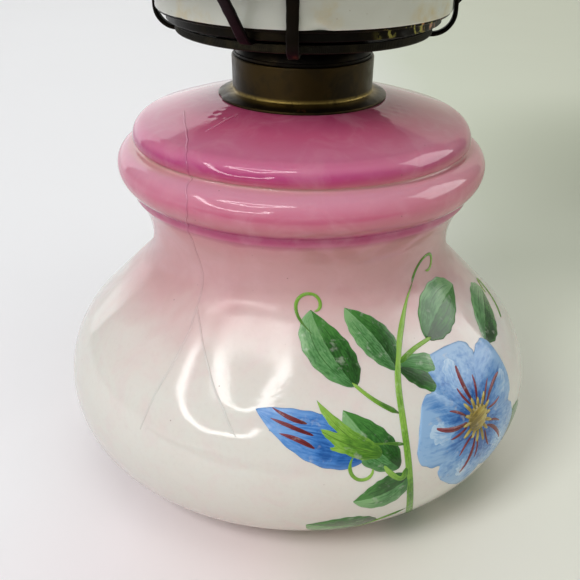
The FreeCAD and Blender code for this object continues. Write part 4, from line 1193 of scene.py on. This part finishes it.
def lumpy(radius, height, angle):
    """Solder has run along the ring's foot on one side: r grows there by half of
    0.5 + 0.3 sin(34 angle) + 0.2 sin(57 angle + 1), and the beads fade out upwards."""
    side = np.exp(-((angle - math.radians(308)) / 0.16) ** 2)
    low = np.clip((ring_low + 1.4 - height) / 1.2, 0, 1) * (radius > RING - 0.3)
    beads = 0.5 + 0.3 * np.sin(34 * angle) + 0.2 * np.sin(57 * angle + 1)
    return radius + 0.5 * side * low * beads, height


ring_section = [
    (RING - 0.8, ring_low), (RING, ring_low), (RING, ring_low + 0.7), (RING, ring_low + 1.4),
    (RING, ring_high - SHEET), (RING_LIP, ring_high - SHEET), (RING_LIP, ring_high),
    (RING - 0.8, ring_high)]
solid("gallery_ring_turned", [turned(eased(np.array(ring_section), 0.2), 288, lumpy)], "burner",
      "gallery_brass", ["gallery_ring"])

# %% [markdown]
# ## Spring prongs
#
# Each prong is a strip of hard brass, riveted under the saucer, that turns up round the
# chimney's foot and grips it. A curve with a bevel object could make one. Cut strip has
# softened edges, rounded ends and is never quite even, so the section is swept by hand here,
# with a slow wave in its width.

# %% A strip along a path
STRIP_WIDE, THICK, ROUNDING, UNEVEN = 2.7, 1.0, 0.44, 0.03


def strip(path, turn):
    """Sweep a flat section with round edges along a path (r, z), then turn it about the axis.
    The ends are rounded by shrinking the section along a quarter circle."""
    lengths = np.hypot(*np.diff(path, axis=0).T)
    along = np.r_[0, np.cumsum(lengths)]
    count = max(24, int(along[-1] / 0.5))
    sampled = np.linspace(0, along[-1], count)
    line = np.column_stack([np.interp(sampled, along, path[:, axis]) for axis in (0, 1)])
    ahead = unit(np.gradient(line, sampled, axis=0))
    across = np.column_stack([-ahead[:, 1], ahead[:, 0]])
    corner = np.linspace(0, math.pi / 2, 5)
    section = []
    for quarter, (side, face) in enumerate(((1, 1), (-1, 1), (-1, -1), (1, -1))):
        centre = np.array([side * (STRIP_WIDE / 2 - ROUNDING), face * (THICK / 2 - ROUNDING)])
        swing = corner + quarter * math.pi / 2
        section.extend(centre + ROUNDING * np.column_stack([np.cos(swing), np.sin(swing)]))
    section = np.array(section)
    inset = np.minimum(sampled, sampled[-1] - sampled) / (THICK / 2)
    full = np.sqrt(np.clip(1 - (1 - np.clip(inset, 0, 1)) ** 2, 0, 1))[:, None]
    wave = UNEVEN * (np.sin(sampled * 1.7 + turn) + np.sin(sampled * 0.73 + 2 * turn))[:, None]
    side = section[:, 0] * (1 - (1 - full) * THICK / STRIP_WIDE) + wave * np.sign(section[:, 0])
    side = np.where(full > 0, side, 0)
    face = section[:, 1] * full
    radius = line[:, :1] + across[:, :1] * face
    height = line[:, 1:] + across[:, 1:] * face
    angle = math.radians(turn)
    return MM * np.stack([radius * math.cos(angle) - side * math.sin(angle),
                          radius * math.sin(angle) + side * math.cos(angle), height], axis=-1)


print(f"strips are {STRIP_WIDE} by {THICK} mm")

# %% Prongs
PRONG_TURNS = {"prong_right": 356.5, "prong_back": 86.5, "prong_left": 176.5, "prong_front": 266.5}
PRONG_ROOT, PRONG_OUT, PRONG_BEND = SAUCER - 6.2, 36.7, 5.5
prong_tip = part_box("prong_right")[1].z / MM
under = shelf - THICK / 2
prong_path = drawn([(PRONG_ROOT, under), (PRONG_OUT - PRONG_BEND, under),
                    (PRONG_OUT, under + PRONG_BEND, PRONG_BEND, "left"), (PRONG_OUT, prong_tip)])
for label, heading in PRONG_TURNS.items():
    solid(f"{label}_strip", [strip(prong_path, heading)], "burner", "spring_brass", [label])

# %% [markdown]
# ## The tripod
#
# Three longer strips are riveted above the saucer and slope up to the ring that holds the
# shade. They could be straight bars. A workshop bends them cold over a rod, so both bends are
# arcs of the same small radius.

# %% The tripod's arms
ARM_TURNS = {"shade_arm_right": 9.5, "shade_arm_back": 129.5, "shade_arm_front": 249.5}
ARM_FOOT, ARM_START, ARM_BEND, ARM_TOP = 21.6, RING + 0.2, 3.5, 6.4
arm_low = saucer_high + THICK / 2
holder_low, holder_high = levels("shade_ring")
HOLDER = 52.2
arm_face = HOLDER + THICK / 2
diagonal = ARM_BEND * math.sqrt(0.5)
arm_path = drawn([
    (ARM_FOOT, arm_low), (ARM_START, arm_low),
    (ARM_START + diagonal, arm_low + ARM_BEND - diagonal, ARM_BEND, "left"),
    (arm_face - ARM_BEND + diagonal, holder_low - diagonal),
    (arm_face, holder_low, ARM_BEND, "left"),
    (arm_face, holder_low + ARM_TOP),
])
for label, heading in ARM_TURNS.items():
    solid(f"{label}_strip", [strip(arm_path, heading)], "burner", "tripod_brass", [label])

# %% The shade ring
BEAD, HOLDER_WALL, HOLDER_LEDGE = 0.6, 0.8, 3.8
ledge = HOLDER - HOLDER_WALL - HOLDER_LEDGE
holder_section = drawn([
    (ledge, holder_low), (HOLDER, holder_low), (HOLDER, holder_high - 2 * BEAD),
    (HOLDER + BEAD, holder_high - BEAD, BEAD, "left"), (HOLDER, holder_high, BEAD, "left"),
    (HOLDER - HOLDER_WALL, holder_high), (HOLDER - HOLDER_WALL, holder_low + HOLDER_WALL),
    (ledge, holder_low + HOLDER_WALL)], 0.2)
solid("shade_ring_rolled", [turned(eased(holder_section, 0.2), 288)], "burner", "tripod_brass",
      ["shade_ring"])

# %% [markdown]
# ## The chimney
#
# The chimney is a blown tube of opal glass: a straight foot, a slight waist, a belly for the
# flame and a long throat. It could be lofted through rings. Two upright places joined by two
# equal arcs make the same soft curves with one short helper.

# %% The chimney's section
def s_curve(lower, upper, turn):
    """Two arcs that meet halfway between two upright points."""
    halfway = ((lower[0] + upper[0]) / 2, (lower[1] + upper[1]) / 2)
    back = "right" if turn == "left" else "left"
    return [(*halfway, fullest(lower, halfway), turn), (*upper, fullest(upper, halfway), back)]


chimney_low, chimney_high = levels("chimney")
CHIMNEY, CHIMNEY_WALL = 35.9, 2.4
chimney_base = (CHIMNEY, chimney_low + 26)
chimney_waist, chimney_belly = (33.0, chimney_low + 44), (36.2, chimney_low + 84)
chimney_throat, chimney_lip = (24.0, chimney_low + 196), (25.6, chimney_high)
chimney_foot = [(CHIMNEY, level) for level in np.linspace(chimney_low, chimney_low + 8, 17)]
chimney_rise = drawn([
    chimney_base,
    *s_curve(chimney_base, chimney_waist, "left"),
    *s_curve(chimney_waist, chimney_belly, "right"),
    *s_curve(chimney_belly, chimney_throat, "left"),
    (*chimney_lip, fullest(chimney_throat, chimney_lip), "right"),
], 1.4)
chimney_outside = np.vstack([chimney_foot, chimney_rise])
chimney_inside = chimney_outside[::3][::-1] - np.array([CHIMNEY_WALL, 0])
chimney_section = np.vstack([chimney_outside, chimney_inside])
print("points on the chimney's section:", len(chimney_section))

# %% [markdown]
# ## Flakes at the chimney's foot
#
# The foot was ground flat and has lost some small flakes to the prongs. A Boolean could bite
# them out and would leave bad faces. Soft hollows in the outer edge read as chips at this size.

# %% Flakes at the foot
FLAKES = ((-85.5, 1.3, 0.7), (-83.2, 0.8, 0.5), (-140, 0.9, 0.4), (40, 1.4, 0.6))


def flaked(radius, height, angle):
    """Press a soft hollow into the foot's outer edge for each flake, which is (angle in
    degrees, width, depth): r falls by the depth times the closeness."""
    for heading, width, depth in FLAKES:
        near = closeness(radius, height, angle, heading, chimney_low, width)
        radius = radius - depth * near * (radius > CHIMNEY - 1)
    return radius, height


solid("chimney_blown", [turned(eased(chimney_section, 0.7), 288, flaked)], "chimney", "opal_glass",
      ["chimney"])

# %% [markdown]
# ## The ball shade
#
# The shade is most of a ball of opal glass, 152 mm across, with an upright neck that sits in
# the ring and an open mouth. A sphere could be cut and thickened. Drawing both sides of the
# wall as arcs keeps it even and leaves its edges round, as fire-polishing does.

# %% Ball shade
shade_low, shade_high = levels("ball_shade")
SHADE, SHADE_NECK, SHADE_MOUTH, SHADE_WALL, SHADE_NECK_RISE = 76.0, 50.9, 44.5, 2.6, 7.6
shade_middle = shade_low + SHADE_NECK_RISE + math.sqrt(SHADE ** 2 - SHADE_NECK ** 2)
shade_outside = drawn([
    (SHADE_NECK, shade_low),
    (SHADE_NECK, shade_middle - math.sqrt(SHADE ** 2 - SHADE_NECK ** 2)),
    (SHADE, shade_middle, SHADE, "left"),
    (SHADE_MOUTH, shade_middle + math.sqrt(SHADE ** 2 - SHADE_MOUTH ** 2), SHADE, "left"),
    (SHADE_MOUTH, shade_high),
], 1.2)
inner = SHADE - SHADE_WALL
inner_neck, inner_mouth = SHADE_NECK - SHADE_WALL, SHADE_MOUTH - SHADE_WALL
shade_inside = drawn([
    (inner_mouth, shade_high),
    (inner_mouth, shade_middle + math.sqrt(inner ** 2 - inner_mouth ** 2)),
    (inner, shade_middle, inner, "right"),
    (inner_neck, shade_middle - math.sqrt(inner ** 2 - inner_neck ** 2), inner, "right"),
    (inner_neck, shade_low),
], 3.0)
solid("ball_shade_blown", [turned(eased(np.vstack([shade_outside, shade_inside]), 1.1), 288)],
      "shade", "shade_glass", ["ball_shade"])

# %% [markdown]
# ## The working parts
#
# The cup, drum, plate, cone, tube, wheels, shaft, knob, rivets and wick are small, pierced or
# hidden. They could be made again with softer edges, but nobody would see it, so they keep
# the frame's own shapes and take the finishes made above.

# %% Frame shapes take their finishes
slots = {part["node"]: part["material_slot"] for part in frame["record"]["subparts"]}
for label, node in frame["nodes"].items():
    node.data.materials.clear()
    node.data.materials.append(finishes[slots[label]])
print("finished pieces:", len(slots))

# %% [markdown]
# ## Places round the lamp
#
# A studio is laid out from the object: so far round, so high, so far away. Lights and sheets
# could be placed by x, y and z, but turning one round the lamp is then three numbers to
# change instead of one.

# %% Places and sheets
MIDDLE_HEIGHT = 0.07


def toward(azimuth, elevation, distance):
    """A place seen from the lamp's middle: x = d cos(e) cos(a), y = d cos(e) sin(a), and
    z = middle + d sin(e)."""
    azimuth, elevation = np.radians(azimuth), np.radians(elevation)
    return np.stack([distance * np.cos(elevation) * np.cos(azimuth),
                     distance * np.cos(elevation) * np.sin(azimuth),
                     MIDDLE_HEIGHT + distance * np.sin(elevation)], axis=-1)


def sheet(name, grid, material, hidden_from=("diffuse", "shadow", "volume_scatter")):
    """Hang a sheet made from a grid of points. It stays out of the sight of some rays."""
    rows, columns = grid.shape[:2]
    index = np.arange(rows * columns).reshape(rows, columns)
    faces = np.stack([index[:-1, :-1], index[:-1, 1:], index[1:, 1:], index[1:, :-1]], axis=-1)
    mesh = bpy.data.meshes.new(name)
    mesh.from_pydata(grid.reshape(-1, 3).tolist(), [], faces.reshape(-1, 4).tolist())
    made = bpy.data.objects.new(name, mesh)
    bpy.context.scene.collection.objects.link(made)
    mesh.materials.append(material)
    for rays in hidden_from:
        setattr(made, f"visible_{rays}", False)


print("the lamp's middle is", MIDDLE_HEIGHT, "m above the table")

# %% [markdown]
# ## The table
#
# The lamp stands on a smooth pale sheet whose colour holds painted light. It is white on the
# left and grey-green on the right, painted shade of a dimmer, greener light on that side, and
# near the lamp's foot it is painted a shaded pink, the painted bounce of light off the glass.
# A printed image could colour it. Two ramps across it, one near and one far, a painted shadow
# and a painted pool of light beside the lamp are enough, and it stays plain.

# %% The table's colours
table = Finish("table_sheet")
clouds = table.noise(120.0, detail=2.0)
bent = table.sum("ADD", table.coordinate("X"), table.window(clouds, 0.3, 0.7, -6 * MM, 6 * MM))
# Painted light in both ramps: they turn grey-green to the right, painted shade, and the near one turns a
# shaded pink under the lamp's foot, painted shade and bounce from the glass.
near_tones_with_painted_light = table.ramp(table.window(bent, -0.3, 0.3), [
    (0.30, tone(239, 238, 242)), (0.40, tone(243, 236, 240)), (0.48, tone(237, 225, 225)),
    (0.54, tone(230, 221, 215)), (0.60, tone(229, 227, 218)), (0.75, tone(219, 221, 210))])
far_tones_with_painted_shade = table.ramp(table.window(bent, -0.3, 0.3), [
    (0.30, tone(238, 238, 242)), (0.45, tone(236, 237, 238)), (0.72, tone(206, 212, 196)),
    (0.95, tone(204, 208, 192))])
laid = table.blend(table.window(table.coordinate("Y"), -0.02, 0.12), near_tones_with_painted_light, far_tones_with_painted_shade)
print("table finish:", len(table.nodes), "nodes so far")

# %% The table sheet
# Painted shadow and painted light on the table: a darker grey-green spot behind the lamp on the right, and
# a pale pool close to its right.
PAINTED_SHADOW_PLACE, PAINTED_LIGHT_PLACE = (0.21, 0.28, 0), (0.115, 0.07, 0)
REACH = 3.0
painted_shadow = table.window(table.away(PAINTED_SHADOW_PLACE), 0.03, 0.17, 0.85, 0.0)
painted_light_pool = table.window(table.away(PAINTED_LIGHT_PLACE), 0.0, 0.07, 0.75, 0.0)
table.surface(
    Base_Color=table.blend(painted_light_pool, table.blend(painted_shadow, laid, tone(180, 186, 168)), tone(233, 237, 222)),
    Roughness=table.window(clouds, 0.3, 0.7, 0.50, 0.56),
    Specular_IOR_Level=0.25,
)


def level_grid(xs, ys, height):
    """A level grid: x and y run through the given values, and z is the height."""
    grid_x, grid_y = np.meshgrid(xs, ys)
    return np.stack([grid_x, grid_y, np.full(grid_x.shape, height)], axis=-1)


sheet("table_sheet", level_grid((-REACH, REACH), (-REACH, REACH), 0.0), table.material, ())
print("the table reaches", REACH, "m each way")

# %% [markdown]
# ## The backdrop
#
# A bright sheet hangs behind the lamp. It could be white paper under a lamp of its own, but
# that would light the object too. It glows instead, and only the camera, the glass and the
# brass see it. In those it is a little stronger on its left side.

# %% Backdrop
paper = Finish("backdrop")
crossways = paper.coordinate("X")
drifting = paper.window(paper.noise(300.0, detail=1.0), 0.3, 0.7, -0.06, 0.06)
clouded = paper.sum("ADD", crossways, drifting)
seen = paper.step("ShaderNodeLightPath", {}, "Is Camera Ray")
mirrored = paper.window(crossways, -0.35, 0.30, 1.4, 0.9)
paper_tones = paper.ramp(paper.window(clouded, -0.9, 0.8), [
    (0.0, (0.93, 0.93, 0.94, 1)), (0.5, (0.90, 0.91, 0.89, 1)), (0.8, (0.76, 0.74, 0.62, 1)),
    (1.0, (0.66, 0.66, 0.54, 1))])
straight = paper.sum("MULTIPLY", seen, 0.95)
otherwise = paper.sum("MULTIPLY", paper.sum("SUBTRACT", 1.0, seen), mirrored)
paper.glow(paper_tones, paper.sum("ADD", straight, otherwise))
azimuth, elevation = np.meshgrid(np.linspace(48, 142, 48), np.linspace(-4, 33, 16))
sheet("backdrop", toward(azimuth, elevation, 1.1), paper.material)
print("backdrop finish:", len(paper.nodes), "nodes")

# %% [markdown]
# ## What the glass and the brass mirror
#
# Round glass mirrors the whole room in little. A picture of a room could be wrapped round the
# scene, but plain shapes are enough: a window on the right, a dim sheet in front that paints
# the shade in front of the lamp into the reflections, and two bright bent tubes on the left.
# They are seen in reflections only, and the lamps light the object.

# %% Window and painted shade sheet
MIRRORED_ONLY = ("camera", "diffuse", "shadow", "transmission", "volume_scatter")


def glowing(name, first, second, strength, size=400.0):
    """A sheet that gives off its own light, cloudy between two colours."""
    sheet_light = Finish(name)
    cloud = sheet_light.window(sheet_light.noise(size, detail=1.0), 0.35, 0.65)
    sheet_light.glow(sheet_light.blend(cloud, first, second), strength)
    return sheet_light.material


azimuth, elevation = np.meshgrid(np.linspace(-10, 28, 16), np.linspace(12, 44, 16))
sheet("window_glow", toward(azimuth, elevation, 1.0),
      glowing("window_glow", (1.0, 1.0, 0.98, 1), (0.9, 0.94, 0.92, 1), 3.0),
      ("camera", "diffuse", "shadow", "volume_scatter"))
# Painted shade: a dim sheet on the table in front, seen in reflections only, stands for the shade in front
# of the lamp.
sheet("painted_shade_sheet", level_grid(np.linspace(-0.45, 0.45, 8), np.linspace(-0.7, -0.16, 8), 0.3 * MM),
      glowing("painted_shade_sheet", (0.05, 0.05, 0.045, 1), (0.07, 0.065, 0.06, 1), 1.0),
      MIRRORED_ONLY)
print("window and cloth hung")

# %% Bent glowing tubes
TUBE_AWAY = 0.5


def glow_tube(name, places, radius, material):
    """A glowing tube along places given as (azimuth, elevation), all equally far away. Its
    rings stand square to the path: aside cos(angle) + inward sin(angle)."""
    places = np.array(places, float)
    u = np.linspace(0, len(places) - 1, 20 * (len(places) - 1) + 1)
    azimuth, elevation = (np.interp(u, np.arange(len(places)), column) for column in places.T)
    path = toward(azimuth, elevation, TUBE_AWAY)
    ahead = unit(np.gradient(path, axis=0))
    aside = unit(np.cross(ahead, unit(-path)))
    inward = np.cross(aside, ahead)
    around = np.linspace(0, 2 * math.pi, 17)[None, :, None]
    grid = path[:, None] + radius * (aside[:, None] * np.cos(around) + inward[:, None] * np.sin(around))
    sheet(name, grid, material, MIRRORED_ONLY)


tube_glow = glowing("tube_glow", (1.0, 0.99, 0.96, 1), (1.0, 1.0, 1.0, 1), 9.0, 40.0)
glow_tube("outer_tube", [(-161, 41), (-160, 39), (-159, 37), (-156, 36), (-150, 29), (-143, 20), (-138, 15),
                         (-133, 12), (-127, 11), (-121, 13), (-115, 14), (-110, 16), (-107, 24)],
          0.015, tube_glow)
glow_tube("inner_tube", [(-147, 47), (-141, 50), (-133, 52), (-124, 53), (-112, 55), (-101, 55),
                         (-96, 55), (-95, 53), (-100, 51), (-104, 50), (-108, 48), (-113, 45),
                         (-117, 41), (-122, 40), (-129, 43), (-136, 44), (-144, 44), (-147, 45),
                         (-147, 47)], 0.013, tube_glow)
print("tubes hung", TUBE_AWAY, "m away")

# %% [markdown]
# ## Room light and lamps
#
# The room is dim and a little green, and a soft key light hangs high on the left with three
# weaker ones to fill in. One image of a room could light it all. Four square lamps are easier
# to balance, and they are kept out of the reflections, which have shapes of their own.

# %% Room light
world = bpy.data.worlds.new("room")
bpy.context.scene.world = world
world.use_nodes = True
room = world.node_tree.nodes["Background"].inputs
room["Color"].default_value = (0.95, 0.96, 0.90, 1)
room["Strength"].default_value = 0.30
print("room light:", round(room["Strength"].default_value, 2))


# %% Lamps
def soft_light(name, azimuth, elevation, distance, size, power, colour):
    """Hang a square light that faces the lamp. It lights things, and isn't seen in them."""
    light = bpy.data.lights.new(name, "AREA")
    light.size = size
    light.energy = power
    light.color = colour
    made = bpy.data.objects.new(name, light)
    made.location = toward(azimuth, elevation, distance).tolist()
    aim = Vector((0, 0, MIDDLE_HEIGHT)) - made.location
    made.rotation_euler = aim.to_track_quat("-Z", "Y").to_euler()
    made.visible_glossy = False
    bpy.context.scene.collection.objects.link(made)


soft_light("key_light", -130, 42, 2.0, 0.7, 22.5, (0.985, 0.99, 1.0))
soft_light("front_fill", -45, 25, 2.2, 1.6, 8.4, (1.0, 0.99, 0.96))
soft_light("back_fill", 80, 40, 2.2, 1.6, 7.6, (1.0, 1.0, 0.97))
soft_light("top_light", 90, 89, 2.6, 2.4, 17.8, (1.0, 1.0, 0.98))

# %% [markdown]
# ## The camera
#
# The lamp is seen from close by and from a little above its collar. The camera could track
# the object with a constraint. Three plain angles are steadier: how far it turns, looks down
# and leans.

# %% Camera
EYE = Vector((0.0, -0.22694, 0.15891))
TURN, LOOK_DOWN, LEAN = math.radians(0.61), math.radians(26.35), math.radians(0.76)
camera = bpy.data.objects.new("camera", bpy.data.cameras.new("camera"))
bpy.context.scene.collection.objects.link(camera)
camera.data.lens = 55.862
turning = (Matrix.Rotation(TURN, 4, "Z") @ Matrix.Rotation(math.pi / 2 - LOOK_DOWN, 4, "X")
           @ Matrix.Rotation(LEAN, 4, "Z"))
camera.matrix_world = Matrix.Translation(EYE) @ turning
camera.data.clip_start = 0.01
bpy.context.scene.camera = camera
bpy.context.scene.view_settings.view_transform = "Standard"
print(f"camera: {camera.data.lens:.1f} mm lens, {EYE.length:.3f} m from the lamp's foot")
